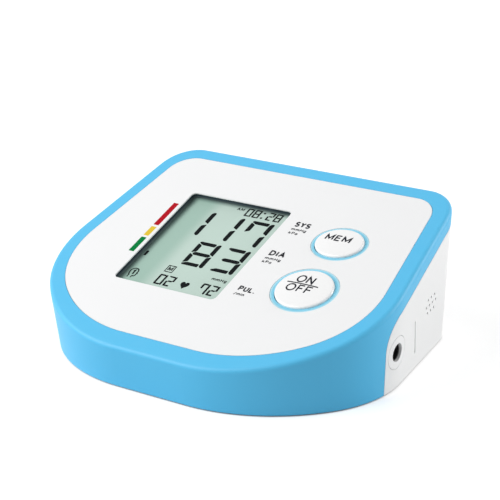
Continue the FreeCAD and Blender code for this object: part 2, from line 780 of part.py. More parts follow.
for i, x in enumerate((SLEEVE_LEFT + " + cradle_inset",
                       HEAD_LEFT + " - sleeve_margin - cradle_inset - cradle_thick")):
    slab = block("cradle_slab_%d" % i, (x, x + " + cradle_thick"),
                 ("pump_y - cradle_half", "pump_y + cradle_half"), ("case_lift", "cradle_top"))
    bed = rod("cradle_bed_%d" % i, "motor_radius + sleeve_thick + seat_gap", "x",
              (x + " - overrun", "pump_y", "pump_z"), "cradle_thick + 2 * overrun")
    cradles.append(cut("cradle_%d" % i, slab, bed))
saddles = []
for i, y in enumerate(("saddle_front", "saddle_rear")):
    slab = block("saddle_slab_%d" % i, ("valve_x - saddle_half", "valve_x + saddle_half"),
                 (y, y + " + saddle_thick"), ("case_lift", "saddle_top"))
    bed = rod("saddle_bed_%d" % i, "valve_radius + seat_gap", "y", ("valve_x", y + " - overrun", "valve_z"),
              "saddle_thick + 2 * overrun")
    saddles.append(cut("saddle_%d" % i, slab, bed))
manifold_feet = [block("manifold_foot_%d" % i, (x, x + " + manifold_foot"),
                       ("manifold_front", "manifold_rear"),
                       ("case_lift", "manifold_low"))
                 for i, x in enumerate(("manifold_left", "manifold_right - manifold_foot"))]
ring_tube = rod("ring_tube", "buzzer_radius + buzzer_ring", "x", ("buzzer_back", "buzzer_y", "buzzer_z"),
                "reach")
buzzer_holder = overlap("buzzer_holder", ring_tube, envelope)
lower_full = join("lower_full", lower_shell, tongue, bay_block, buzzer_holder, *ears, *towers, *cradles,
                  *saddles, *manifold_feet)
bay_room = block("bay_room", ("bay_left", "bay_right"), ("bay_front", "bay_rear"),
                 ("case_lift - overrun", "bay_roof"))
notches = []
for i, x in enumerate(KNUCKLES):
    notches.append(block("notch_%d" % i, (x + " - knuckle_long / 2 - notch_gap",
                                          x + " + knuckle_long / 2 + notch_gap"),
                         (HINGE_Y + " - knuckle_radius - notch_gap", "bay_front + notch_gap"),
                         ("case_lift - overrun", HINGE_Z + " + knuckle_radius + notch_gap")))
    notches.append(rod("pin_hole_%d" % i, "pin_radius + pin_gap", "x",
                       (x + " - knuckle_long / 2 - pin_length - pin_end_gap", HINGE_Y, HINGE_Z),
                       "knuckle_long + 2 * (pin_length + pin_end_gap)"))
latch_notch = middle_block("latch_notch", "latch_x", "bay_rear", "latch_wide + 2 * notch_gap",
                           "2 * (latch_reach + notch_gap)",
                           ("case_lift - overrun", "case_lift + cover_thick + notch_gap"))
seats = []
for i, (x, y) in enumerate(CASE_POSTS):
    seats.append(rod("counterbore_%d" % i, "counterbore", "z", (x, y, "case_lift - overrun"),
                     "tower_seat - case_lift + overrun"))
    seats.append(rod("tower_bore_%d" % i, "tower_hole", "z", (x, y, "case_lift"), "post_bottom + overrun"))
FEET = [(sign + "foot_%s_x" % end, "foot_%s_y" % end) for end in ("front", "rear") for sign in ("", "-")]
foot_seats = [rod("foot_seat_%d" % i, "foot_radius", "z", (x, y, "case_lift - overrun"),
                  "foot_seat + overrun")
              for i, (x, y) in enumerate(FEET)]
socket_hole = rod("socket_hole", "socket_radius + seat_gap", "x",
                  ("socket_back - overrun", "socket_y", "socket_z"), "reach")
buzzer_room = rod("buzzer_room", "buzzer_radius", "x", ("buzzer_back - overrun", "buzzer_y", "buzzer_z"),
                  "overrun + buzzer_thick")
buzzer_front = rod("buzzer_front", "buzzer_radius - buzzer_step", "x",
                   ("buzzer_back", "buzzer_y", "buzzer_z"), "reach")
sound_room = overlap("sound_room", buzzer_front, inner_body)
SOUND_ROWS = [(-1, (-1, 0, 1)), (0, (-1.5, -0.5, 0.5, 1.5)), (1, (-1, 0, 1))]
sound_holes = []
for row, places in SOUND_ROWS:
    for column in places:
        sound_holes.append(rod("sound_hole_%d" % len(sound_holes), "sound_hole", "x",
                               ("buzzer_back", "buzzer_y + sound_pitch * (%s)" % column,
                                "buzzer_z + sound_rise * (%s)" % row), "reach"))
groove_box = block("groove_box", ("0", "reach"), ("groove_y", "groove_y + groove_wide"),
                   ("groove_z - groove_tall / 2", "groove_z + groove_tall / 2"))
bind(groove_box, "Placement.Rotation.Angle", "groove_tilt")
groove_box.Placement = FreeCAD.Placement(FreeCAD.Vector(), FreeCAD.Rotation(X_AXIS, size["groove_tilt"]))
groove = cut("groove", groove_box, skin_body)
tab_holes = [middle_block("tab_hole_%d" % i, x, "bay_front - bay_wall / 2", "tab_wide + 2 * tab_gap",
                          "bay_wall + 2 * tab_gap", ("cell_height - tab_thick / 2 - tab_gap",
                                                     "cell_height + tab_thick / 2 + tab_gap"))
             for i, x in enumerate(("cell_first_x", "cell_first_x + 3 * cell_pitch"))]
lower_case = node(cut("lower_case", lower_full, bay_room, *notches, latch_notch, *seats, *foot_seats,
                      socket_hole,
                      buzzer_room, sound_room, *sound_holes, groove, *tab_holes), "lower_case")

# Case screws and rubber feet
for i, (x, y) in enumerate(CASE_POSTS):
    head = rod("screw_head_%d" % i, "screw_head", "z", (x, y, "tower_seat - screw_head_thick"),
               "screw_head_thick")
    shank = rod("screw_shank_%d" % i, "screw_radius", "z", (x, y, "tower_seat - screw_head_thick / 2"),
                "screw_length + screw_head_thick / 2")
    head_low = "tower_seat - screw_head_thick"
    slots = [middle_block("driver_%d_%d" % (i, k), x, y, wide, deep,
                          (head_low + " - overrun", head_low + " + driver_deep"))
             for k, (wide, deep) in enumerate((("driver_long", "driver_wide"),
                                               ("driver_wide", "driver_long")))]
    node(cut("case_screw_%d" % i, join("screw_blank_%d" % i, head, shank), *slots),
         "case_screw_%d" % (i + 1))
for i, (x, y) in enumerate(FEET):
    pad = rod("foot_pad_%d" % i, "foot_radius", "z", (x, y, "0"), "case_lift + foot_seat")
    node(pad, "foot_%d" % (i + 1))

# Battery cover with its hinge knuckles, latch tongue and grip ribs
cover_front = "bay_front + cover_gap"
cover_sheet = block("cover_sheet", ("bay_left + cover_gap", "bay_right - cover_gap"),
                    (cover_front, "bay_rear - cover_gap"), ("case_lift", "case_lift + cover_thick"))
cover_bits = [cover_sheet]
for i, x in enumerate(KNUCKLES):
    cover_bits.append(rod("knuckle_%d" % i, "knuckle_radius", "x", (x + " - knuckle_long / 2", HINGE_Y,
                                                                    HINGE_Z),
                          "knuckle_long"))
    cover_bits.append(rod("hinge_pin_%d" % i, "pin_radius", "x",
                          (x + " - knuckle_long / 2 - pin_length", HINGE_Y, HINGE_Z),
                          "knuckle_long + 2 * pin_length"))
    cover_bits.append(middle_block("hinge_link_%d" % i, x, "(%s + %s) / 2 + cover_gap" % (HINGE_Y,
                                                                                          cover_front),
                                   "knuckle_long", "hinge_out + 3 * cover_gap",
                                   (HINGE_Z + " - knuckle_radius / 2", HINGE_Z + " + knuckle_radius / 2")))
latch = middle_block("latch_tongue", "latch_x", "bay_rear - cover_gap", "latch_wide", "2 * latch_reach",
                     ("case_lift + cover_thick - latch_thick", "case_lift + cover_thick"))
grips = [middle_block("grip_%d" % i, "latch_x", "bay_rear - latch_reach * 3 - grip_pitch * %d" % i,
                      "latch_wide * 2", "grip_deep", ("case_lift - overrun", "case_lift + grip_tall"))
         for i in range(4)]
node(cut("battery_cover", join("cover_full", *cover_bits, latch), *grips), "battery_cover")

# Four cells, laid head to tail, and the five contacts that join them in a row
for i in range(4):
    x = "cell_first_x + %d * cell_pitch" % i
    if i % 2 == 0:
        can_front = "bay_front + contact_thick + spring_room"
        nub_front = can_front + " + cell_length"
    else:
        nub_front = "bay_front + contact_thick"
        can_front = nub_front + " + nub_length"
    can = rod("cell_can_%d" % i, "cell_radius", "y", (x, can_front, "cell_height"), "cell_length")
    nub = rod("cell_nub_%d" % i, "nub_radius", "y", (x, nub_front, "cell_height"), "nub_length")
    node(join("cell_%d" % i, can, nub), "cell_%d" % (i + 1))


def contact_spring(name, index, rear):
    """A coil from a contact plate to a cell's flat end."""
    wire = size["spring_wire"]
    tall = size["spring_room"] - wire
    coil = Part.makeHelix(tall / size["spring_turns"], tall, size["spring_radius"])
    ring = Part.makeCircle(wire, FreeCAD.Vector(size["spring_radius"], 0, 0), Y_AXIS)
    thing = doc.addObject("Part::Feature", name)
    thing.Shape = coil.makePipeShell([Part.Wire([ring])], True, True)
    x = size["cell_first_x"] + index * size["cell_pitch"]
    y = size["bay_rear"] - size["contact_thick"] if rear else size["bay_front"] + size["contact_thick"]
    aim = AIM["-y"] if rear else AIM["y"]
    thing.Placement = FreeCAD.Placement(FreeCAD.Vector(x, y, size["cell_height"]), aim)
    return thing


CONTACTS = [
    ("contact_front_left", 0, 0, False, 0),
    ("contact_front_middle", 1, 2, False, 2),
    ("contact_front_right", 3, 3, False, None),
    ("contact_rear_left", 0, 1, True, 1),
    ("contact_rear_right", 2, 3, True, 3),
]
for name, first, last, rear, sprung in CONTACTS:
    span = ("cell_first_x + %d * cell_pitch - contact_half" % first,
            "cell_first_x + %d * cell_pitch + contact_half" % last)
    depth = ("bay_rear - contact_thick", "bay_rear") if rear else ("bay_front", "bay_front + contact_thick")
    bits = [block(name + "_plate", span, depth, ("cell_height - contact_tall / 2",
                                                 "cell_height + contact_tall / 2"))]
    if sprung is not None:
        bits.append(contact_spring(name + "_spring", sprung, rear))
    if first == last:
        bits.append(middle_block(name + "_tab", "cell_first_x + %d * cell_pitch" % first,
                                 "bay_front + contact_thick / 2 - tab_reach / 2", "tab_wide",
                                 "tab_reach + contact_thick",
                                 ("cell_height - tab_thick / 2", "cell_height + tab_thick / 2")))
    node(join(name, *bits), name)

# Air pump: motor, head with an outlet nipple, rubber sleeve, and the shaft with its offset crank
motor_can = rod("motor_can", "motor_radius", "x", (MOTOR_LEFT, "pump_y", "pump_z"), "motor_length")
motor_bore = rod("motor_bore", "motor_bore", "x", (HEAD_LEFT + " - shaft_inside - crank_gap", "pump_y",
                                                   "pump_z"),
                 "shaft_inside + crank_gap + overrun")
node(cut("pump_motor", motor_can, motor_bore), "pump_motor")
head_block = block("head_block", (HEAD_LEFT, HEAD_RIGHT), ("pump_y - head_half", "pump_y + head_half"),
                   ("pump_z - head_half", "pump_z + head_half"))
outlet = rod("outlet", "nipple_radius", "-y", (OUTLET_X, "pump_y - head_half + nipple_length", "outlet_z"),
             "2 * nipple_length")
chamber = rod("chamber", "chamber_radius", "x", (HEAD_LEFT + " - overrun", "pump_y", "pump_z"),
              "chamber_length + overrun")
outlet_bore = rod("outlet_bore", "nipple_bore", "-y", (OUTLET_X, "pump_y", "outlet_z"),
                  "head_half + nipple_length + overrun")
node(cut("pump_head", join("head_full", head_block, outlet), chamber, outlet_bore), "pump_head")
shaft = rod("shaft", "shaft_radius", "x", (HEAD_LEFT + " - shaft_inside", "pump_y", "pump_z"),
            "shaft_inside + shaft_outside")
crank = rod("crank", "crank_radius", "x", (HEAD_LEFT + " + crank_gap", "pump_y + crank_offset", "pump_z"),
            "crank_length")
node(join("pump_shaft", shaft, crank), "pump_shaft")
rubber_out = rod("rubber_out", "motor_radius + sleeve_thick", "x", (SLEEVE_LEFT, "pump_y", "pump_z"),
                 SLEEVE_LENGTH)
rubber_in = rod("rubber_in", "motor_radius", "x", (SLEEVE_LEFT + " - overrun", "pump_y", "pump_z"),
                SLEEVE_LENGTH + " + 2 * overrun")
node(cut("pump_sleeve", rubber_out, rubber_in), "pump_sleeve")

# Manifold with four nipples, release valve with its plunger, and the cuff air socket in the right wall
manifold_block = block("manifold_block", ("manifold_left", "manifold_right"), ("manifold_front",
                                                                               "manifold_rear"),
                       ("manifold_low", "manifold_high"))
NIPPLES = [
    ("pump", "y", (OUTLET_X, "manifold_rear", "outlet_z")),
    ("socket", "x", ("manifold_right", "socket_y", "socket_z")),
    ("valve", "-y", ("valve_x", "manifold_front", "valve_z")),
    ("sensor", "-x", ("manifold_left", "sensor_nipple_y", "sensor_nipple_z")),
]
nipples = []
nipple_bores = []
BACK = {"x": (0, "-"), "-x": (0, "+"), "y": (1, "-"), "-y": (1, "+")}
for word, aim, at in NIPPLES:
    index, sign = BACK[aim]
    deep = list(at)
    deep[index] = "%s %s nipple_length" % (at[index], sign)
    nipples.append(rod("nipple_" + word, "nipple_radius", aim, deep, "2 * nipple_length"))
    nipple_bores.append(rod("nipple_bore_" + word, "nipple_bore", aim, deep, "2 * nipple_length + overrun"))
node(cut("manifold", join("manifold_full", manifold_block, *nipples), *nipple_bores), "manifold")

valve_coil = rod("valve_coil", "valve_radius", "y", ("valve_x", "valve_front", "valve_z"),
                 "valve_rear - valve_front")
cheeks = [rod("valve_cheek_%d" % i, "valve_cheek_radius", "y", ("valve_x", y, "valve_z"), "valve_cheek")
          for i, y in enumerate(("valve_front", "valve_rear - valve_cheek"))]
valve_nipple = rod("valve_nipple", "nipple_radius", "y", ("valve_x", "valve_rear - valve_cheek", "valve_z"),
                   "valve_cheek + nipple_length")
valve_air = rod("valve_air", "nipple_bore", "y", ("valve_x", "valve_rear - nipple_length", "valve_z"),
                "2 * nipple_length + overrun")
valve_hole = rod("valve_hole", "valve_bore", "y", ("valve_x", "valve_front - overrun", "valve_z"),
                 "overrun + valve_bore_depth")
node(cut("valve_body", join("valve_full", valve_coil, *cheeks, valve_nipple), valve_air, valve_hole),
     "valve_body")
plunger_pin = rod("plunger_pin", "plunger_rod", "y", ("valve_x", "valve_front - plunger_out", "valve_z"),
                  "plunger_out + plunger_in")
plunger_disc = rod("plunger_disc", "plunger_disc", "y",
                   ("valve_x", "valve_front - plunger_out - plunger_disc_thick / 2", "valve_z"),
                   "plunger_disc_thick")
node(join("valve_plunger", plunger_pin, plunger_disc), "valve_plunger")

socket_plug = rod("socket_plug", "socket_radius", "x", ("socket_back", "socket_y", "socket_z"), "reach")
socket_flush = overlap("socket_flush", socket_plug, envelope)
socket_tail = rod("socket_tail", "nipple_radius", "x", ("socket_tail", "socket_y", "socket_z"),
                  "socket_floor - socket_tail")
socket_mouth = rod("socket_mouth", "socket_bore", "x", ("socket_floor", "socket_y", "socket_z"), "reach")
socket_air = rod("socket_air", "nipple_bore", "x", ("socket_tail - overrun", "socket_y", "socket_z"),
                 "reach")
node(cut("air_socket", join("socket_full", socket_flush, socket_tail), socket_mouth, socket_air),
     "air_socket")


def straight_tube(name, aim, at, length):
    outer = rod(name + "_outer", "nipple_radius + tube_wall", aim, at, length)
    index, sign = BACK[aim]
    through = list(at)
    through[index] = "%s %s overrun" % (at[index], sign)
    inner = rod(name + "_inner", "nipple_radius + tube_gap", aim, through, "(%s) + 2 * overrun" % length)
    return node(cut(name, outer, inner), name)


straight_tube("tube_pump", "y", (OUTLET_X, "manifold_rear + tube_margin", "outlet_z"),
              "pump_y - head_half - manifold_rear - 2 * tube_margin")
straight_tube("tube_socket", "x", ("manifold_right + tube_margin", "socket_y", "socket_z"),
              "socket_back - manifold_right - 2 * tube_margin")
straight_tube("tube_valve", "-y", ("valve_x", "manifold_front - tube_margin", "valve_z"),
              "manifold_front - valve_rear - 2 * tube_margin")

# Pressure sensor under the board, its port above the bend of the sensor hose
hose_start = FreeCAD.Vector(size["manifold_left"] - size["tube_margin"], size["sensor_nipple_y"],
                            size["sensor_nipple_z"])
hose_turn = FreeCAD.Vector(size["sensor_x"], size["sensor_nipple_y"], size["sensor_nipple_z"])
sensor_low = -(size["board_depth"] + size["board_thick"] + size["sensor_tall"])
hose_end = hose_turn + PANEL_OUT * (sensor_low - depth_of(hose_turn) - size["tube_margin"])
bent_piece("tube_sensor", hose_start, hose_turn, hose_end, size["hose_bend"],
           size["nipple_radius"] + size["tube_wall"], size["nipple_radius"] + size["tube_gap"])
sensor_v = (hose_turn - PANEL_HOME).dot(PANEL_UP)
sensor = doc.addObject("Part::Feature", "pressure_sensor")
sensor_case = Part.makeBox(size["sensor_wide"], size["sensor_wide"], size["sensor_tall"], FreeCAD.Vector(
    size["sensor_x"] - size["sensor_wide"] / 2, sensor_v - size["sensor_wide"] / 2, sensor_low))
sensor_port = Part.makeCylinder(size["nipple_radius"], size["sensor_port_length"] + size["sensor_tall"] / 2,
                                FreeCAD.Vector(
    size["sensor_x"], sensor_v, sensor_low - size["sensor_port_length"]))
sensor.Shape = sensor_case.fuse(sensor_port)
on_panel(sensor)
node(sensor, "pressure_sensor")

# Buzzer behind the sound holes
node(rod("buzzer", "buzzer_radius", "x", ("buzzer_back", "buzzer_y", "buzzer_z"), "buzzer_thick"), "buzzer")

# Wire leads from the motor, valve, battery contacts and buzzer up to the board
head_left = size["post_rear_x"] - size["tower_radius"] - size["pump_gap"] - size["head_length"]
motor_left = head_left - size["motor_length"]
for word, sign in (("red", 1), ("black", -1)):
    spot = FreeCAD.Vector(motor_left, size["pump_y"] + sign * size["pump_lead_half"], size["pump_lead_z"])
    lead_to_board("pump_lead_" + word, spot, -X_AXIS * size["lead_run"])
for word, y in (("red", "valve_lead_rear"), ("black", "valve_lead_front")):
    spot = FreeCAD.Vector(size["valve_x"] - size["valve_radius"], size[y], size["valve_z"])
    lead_to_board("valve_lead_" + word, spot, -X_AXIS * size["lead_run"])
for word, index in (("black", 0), ("red", 3)):
    spot = FreeCAD.Vector(size["cell_first_x"] + index * size["cell_pitch"],
                          size["bay_front"] - size["tab_reach"],
                          size["cell_height"])
    lead_to_board("battery_lead_" + word, spot, -Y_AXIS * size["battery_lead_run"])
spot = FreeCAD.Vector(size["buzzer_back"], size["buzzer_y"], size["buzzer_lead_z"])
lead_to_board("buzzer_lead", spot, -X_AXIS * size["buzzer_lead_run"])

doc.recompute()
problems = [thing.Name for thing in doc.Objects if "Invalid" in thing.State or "Error" in thing.State]
for thing in nodes:
    if thing.Shape.isNull() or not thing.Shape.isValid():
        problems.append(thing.Label)
if problems:
    raise RuntimeError("objects that did not build: " + ", ".join(problems))
os.makedirs("parts", exist_ok=True)
for thing in nodes:
    thing.Shape.exportStep("parts/%s.step" % thing.Label)
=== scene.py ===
import json
import math

import bmesh
import bpy
from mathutils import Matrix, Vector


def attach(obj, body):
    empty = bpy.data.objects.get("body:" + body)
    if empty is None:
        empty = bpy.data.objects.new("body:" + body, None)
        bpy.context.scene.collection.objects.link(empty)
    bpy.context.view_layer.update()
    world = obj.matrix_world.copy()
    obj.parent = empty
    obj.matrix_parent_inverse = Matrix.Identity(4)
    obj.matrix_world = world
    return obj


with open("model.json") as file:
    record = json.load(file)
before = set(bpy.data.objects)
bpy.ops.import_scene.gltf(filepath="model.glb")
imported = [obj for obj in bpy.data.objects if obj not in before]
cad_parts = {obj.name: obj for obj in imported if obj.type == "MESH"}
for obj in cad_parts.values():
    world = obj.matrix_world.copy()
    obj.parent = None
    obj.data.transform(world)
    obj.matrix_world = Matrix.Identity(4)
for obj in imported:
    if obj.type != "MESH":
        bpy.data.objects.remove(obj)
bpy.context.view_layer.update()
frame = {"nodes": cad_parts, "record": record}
scene = bpy.context.scene
scene.view_settings.view_transform = "Standard"

MM = 0.001
MICRON = 0.000001

# The sloped face has its own millimetres: x to the right, v up the slope, w out of the face
PANEL_HEIGHT = 31.96
PANEL_SLOPE = 19.45
PANEL = Matrix.Translation((0, 0, PANEL_HEIGHT * MM)) @ Matrix.Rotation(math.radians(PANEL_SLOPE), 4, "X")
UPHILL = tuple(PANEL.col[1][:3])
OUTWARD = tuple(PANEL.col[2][:3])

# Display window: its left and rear walls, and the height of the glass
WINDOW_LEFT = -36.35
WINDOW_REAR = 27.32
GLASS_TOP = -2.1

# Buttons: middle of the cap on the face, half width and half depth of the cap and of the ring round it
BUTTONS = {
    "power": {"middle": (33.7, -7.45), "cap": (10.2, 9.1), "ring": (12.05, 10.75)},
    "mem": {"middle": (32.3, 16.5), "cap": (8.85, 6.95), "ring": (10.45, 8.45)},
}
DOME_TOP = 1.3
DOME_RISE = 9.0
DOME_SPREAD = 2.8

# Air socket in the right wall: middle of the bore, its radius, where the black painted shade in the bore
# begins, and how soft the two borders of that painted shade are
SOCKET_Y = -2.4
SOCKET_Z = 13.0
SOCKET_BORE = 3.2
BORE_SHADE_X = 64.0
BORE_BLUR = 0.05
BORE_SHADE_BLUR = 0.3

# Cells: length of the can, of the band at the raised end, and of the steel that shows at each end, the
# softness of their borders, the places of a raised end at the rear and at the front, and the turned cells
CELL_LENGTH = 43.7
CELL_BAND = 11.6
CELL_STEEL = 0.7
CELL_BLUR = 0.1
CELL_REAR = 38.2
CELL_FRONT = -8.4
TURNED_CELLS = ("cell_2", "cell_4")

# Prints: thickness, and the hair of room under them
PRINT_THICK = 0.03
PRINT_ROOM = 0.004

# Mouldings: the blue shell, the painted reflection on the rings round the buttons and the painted highlight
# at their edge, the white, and the dust
BLUE = (0.09, 0.53, 0.862)
RING_REFLECTION_BLUE = (0.22, 0.63, 0.83)
RING_EDGE_HIGHLIGHT = (0.52, 0.82, 0.92)
WHITE = (0.905, 0.91, 0.91)
DUST_GREY = (0.62, 0.61, 0.58)

# The painted highlight at the edge of a ring begins at this share of its squared radius
RING_HIGHLIGHT_FROM = 0.82

# Display glass: its grey, and its painted shade: a darker green near the left wall and a darker tone under
# the walls; how much of each comes through, and between which distances from the left or rear wall they fade
# in
GLASS_GREY = (0.532, 0.675, 0.606)
GLASS_GREEN_SHADE = (0.324, 0.504, 0.424)
GLASS_SHADE = (0.05, 0.085, 0.085)
GREEN_SHADE_SHARE = 0.85
SHADE_SHARE = 0.8
GREEN_SHADE_FADE = (15.0, 7.8)
LEFT_FADE = (3.4, -0.6)
REAR_FADE = (-2.0, 0.4)

# Display frame: its black, the light that the display throws on its foot, and where that light begins
FRAME_BLACK = (0.014, 0.026, 0.04)
FRAME_LIT = (0.16, 0.22, 0.21)
FRAME_LIT_SHARE = 0.6
FRAME_LIT_TOP = -0.9

# Black painted shade in the socket's bore, and the jacket, band and ends of a cell
BORE_SHADE_BLACK = (0.012, 0.012, 0.013)
JACKET_BLACK = (0.03, 0.034, 0.04)
BAND_COPPER = (0.62, 0.3, 0.1)
CELL_END_GREY = (0.6, 0.6, 0.61)

# Noise: sizes are in specks to the metre, and detail counts the finer layers
CLOUD_DETAIL = 3.0
GRAIN_DETAIL = 1.5
CLOUD_GLOSS_SHARE = 0.6
GRAIN_GLOSS_SHARE = 0.4
DUST_SIZE = 160.0
DUST_DETAIL = 4.0
DUST_CONTRAST = 2.0
STREAK_SIZE = 900.0
STREAK_DETAIL = 2.0
STREAK_STRETCH = (0.05, 1.0, 1.0)
STREAK_DARKEST = 0.85
STREAK_LIFT = 0.3
STREAK_GLOSS = 0.2

# Relief: strength of a bump on plastic and on metal, and its depth on metal in microns
BUMP_STRENGTH = 0.4
METAL_BUMP_STRENGTH = 0.3
METAL_DEPTH = 10


# Shader groups shared by the finishes

def new_group(name, inputs, outputs):
    tree = bpy.data.node_groups.new(name, "ShaderNodeTree")
    for label, kind, value in inputs:
        socket = tree.interface.new_socket(name=label, in_out="INPUT", socket_type=kind)
        socket.default_value = value
    for label, kind in outputs:
        tree.interface.new_socket(name=label, in_out="OUTPUT", socket_type=kind)
    return tree, tree.nodes.new("NodeGroupInput"), tree.nodes.new("NodeGroupOutput")


def maths(tree, what, *values):
    """A math node; each value is a number or the output of another node."""
    step = tree.nodes.new("ShaderNodeMath")
    step.operation = what
    for slot, value in zip(step.inputs, values):
        if isinstance(value, (int, float)):
            slot.default_value = value
        else:
            tree.links.new(value, slot)
    return step.outputs[0]


def about_zero(tree, value):
    """Noise from 0 to 1, moved to lie about zero."""
    return maths(tree, "SUBTRACT", value, 0.5)


def noise(tree, scale, detail, stretch=None):
    """Noise over the object's own coordinates; stretch squeezes the three axes."""
    place = tree.nodes.new("ShaderNodeTexCoord").outputs["Object"]
    if stretch:
        mapping = tree.nodes.new("ShaderNodeMapping")
        mapping.inputs["Scale"].default_value = stretch
        tree.links.new(place, mapping.inputs["Vector"])
        place = mapping.outputs["Vector"]
    speckle = tree.nodes.new("ShaderNodeTexNoise")
    speckle.inputs["Detail"].default_value = detail
    tree.links.new(place, speckle.inputs["Vector"])
    if isinstance(scale, (int, float)):
        speckle.inputs["Scale"].default_value = scale
    else:
        tree.links.new(scale, speckle.inputs["Scale"])
    return speckle.outputs["Fac"]


def scaled(tree, colour, by):
    """A colour made lighter or darker."""
    tint = tree.nodes.new("ShaderNodeVectorMath")
    tint.operation = "SCALE"
    tree.links.new(colour, tint.inputs[0])
    tree.links.new(by, tint.inputs["Scale"])
    return tint.outputs[0]


SKIN_OUTPUTS = [
    ("Colour", "NodeSocketColor"),
    ("Roughness", "NodeSocketFloat"),
    ("Height", "NodeSocketFloat"),
]


def moulded_grain():
    """Cloudy colour, fine spark texture and uneven gloss of a moulded part."""
    tree, given, out = new_group("moulded_grain", [
        ("Colour", "NodeSocketColor", (0.8, 0.8, 0.8, 1)),
        ("Cloud", "NodeSocketFloat", 0.04),
        ("Cloud Size", "NodeSocketFloat", 40.0),
        ("Grain Size", "NodeSocketFloat", 3000.0),
        ("Gloss", "NodeSocketFloat", 0.35),
        ("Gloss Spread", "NodeSocketFloat", 0.08),
    ], SKIN_OUTPUTS)
    cloud = noise(tree, given.outputs["Cloud Size"], CLOUD_DETAIL)
    grain = noise(tree, given.outputs["Grain Size"], GRAIN_DETAIL)
    lift = maths(tree, "MULTIPLY_ADD", about_zero(tree, cloud), given.outputs["Cloud"], 1.0)
    tree.links.new(scaled(tree, given.outputs["Colour"], lift), out.inputs["Colour"])
    uneven = maths(tree, "ADD", maths(tree, "MULTIPLY", cloud, CLOUD_GLOSS_SHARE),
                   maths(tree, "MULTIPLY", grain, GRAIN_GLOSS_SHARE))
    rough = maths(tree, "MULTIPLY_ADD", about_zero(tree, uneven), given.outputs["Gloss Spread"],
                  given.outputs["Gloss"])
    tree.links.new(rough, out.inputs["Roughness"])
    tree.links.new(grain, out.inputs["Height"])
    return tree


def settled_dust():
    """A faint patchy film on faces that look up."""
    tree, given, out = new_group("settled_dust", [("Amount", "NodeSocketFloat", 0.03)],
                                 [("Mask", "NodeSocketFloat")])
    face = tree.nodes.new("ShaderNodeNewGeometry")
    split = tree.nodes.new("ShaderNodeSeparateXYZ")
    tree.links.new(face.outputs["Normal"], split.inputs[0])
    up = maths(tree, "MAXIMUM", split.outputs["Z"], 0.0)
    patches = maths(tree, "POWER", noise(tree, DUST_SIZE, DUST_DETAIL), DUST_CONTRAST)
    film = maths(tree, "MULTIPLY", maths(tree, "MULTIPLY", up, patches), given.outputs["Amount"])
    tree.links.new(film, out.inputs["Mask"])
    return tree


def drawn_lines():
    """Fine streaks along one axis, as on drawn or turned metal."""
    tree, given, out = new_group("drawn_lines", [
        ("Colour", "NodeSocketColor", (0.6, 0.6, 0.6, 1)),
        ("Gloss", "NodeSocketFloat", 0.3),
    ], SKIN_OUTPUTS)
    streak = noise(tree, STREAK_SIZE, STREAK_DETAIL, STREAK_STRETCH)
    lift = maths(tree, "MULTIPLY_ADD", streak, STREAK_LIFT, STREAK_DARKEST)
    tree.links.new(scaled(tree, given.outputs["Colour"], lift), out.inputs["Colour"])
    rough = maths(tree, "MULTIPLY_ADD", about_zero(tree, streak), STREAK_GLOSS, given.outputs["Gloss"])
    tree.links.new(rough, out.inputs["Roughness"])
    tree.links.new(streak, out.inputs["Height"])
    return tree


GRAIN = moulded_grain()
DUST = settled_dust()
LINES = drawn_lines()


# Finishes

def blank(name):
    finish = bpy.data.materials.new(name)
    finish.use_nodes = True
    tree = finish.node_tree
    return finish, tree, tree.nodes["Principled BSDF"]


def use_group(tree, group, **values):
    placed = tree.nodes.new("ShaderNodeGroup")
    placed.node_tree = group
    for label, value in values.items():
        placed.inputs[label.replace("_", " ")].default_value = value
    return placed


def bump(tree, shader, height, depth, strength=BUMP_STRENGTH):
    """Raises the height by a depth in microns."""
    step = tree.nodes.new("ShaderNodeBump")
    step.inputs["Strength"].default_value = strength
    step.inputs["Distance"].default_value = depth * MICRON
    tree.links.new(height, step.inputs["Height"])
    tree.links.new(step.outputs["Normal"], shader.inputs["Normal"])


def mix_colour(tree, mask, first, second):
    """The first colour where the mask is 0, the second where it is 1."""
    step = tree.nodes.new("ShaderNodeMix")
    step.data_type = "RGBA"
    tree.links.new(mask, step.inputs["Factor"])
    for slot, value in ((step.inputs["A"], first), (step.inputs["B"], second)):
        if isinstance(value, tuple):
            slot.default_value = value + (1,)
        else:
            tree.links.new(value, slot)
    return step.outputs["Result"]


def ramp(tree, value, low, high):
    """Smooth step from 0 at low to 1 at high."""
    step = tree.nodes.new("ShaderNodeMapRange")
    step.interpolation_type = "SMOOTHSTEP"
    step.inputs["From Min"].default_value = low
    step.inputs["From Max"].default_value = high
    tree.links.new(value, step.inputs["Value"])
    return step.outputs["Result"]


def fade(tree, place, start, end):
    """Smooth step over a place in metres, from 0 at start to 1 at end, both in millimetres."""
    return ramp(tree, place, start * MM, end * MM)


def along(tree, aim, start):
    """How far a point lies along aim from start, in metres."""
    shift = tree.nodes.new("ShaderNodeVectorMath")
    shift.operation = "SUBTRACT"
    shift.inputs[1].default_value = start
    tree.links.new(tree.nodes.new("ShaderNodeTexCoord").outputs["Object"], shift.inputs[0])
    dot = tree.nodes.new("ShaderNodeVectorMath")
    dot.operation = "DOT_PRODUCT"
    dot.inputs[1].default_value = aim
    tree.links.new(shift.outputs[0], dot.inputs[0])
    return dot.outputs["Value"]


def square_sum(tree, first, second):
    return maths(tree, "ADD", maths(tree, "MULTIPLY", first, first), maths(tree, "MULTIPLY", second, second))


def dusted(tree, colour, amount):
    film = use_group(tree, DUST, Amount=amount)
    return mix_colour(tree, film.outputs["Mask"], colour, DUST_GREY)


def dress(tree, shader, skin, colour, depth, specular=0.5):
    """Joins a moulded skin and its final colour to the shader."""
    tree.links.new(colour, shader.inputs["Base Color"])
    tree.links.new(skin.outputs["Roughness"], shader.inputs["Roughness"])
    shader.inputs["Specular IOR Level"].default_value = specular
    bump(tree, shader, skin.outputs["Height"], depth)


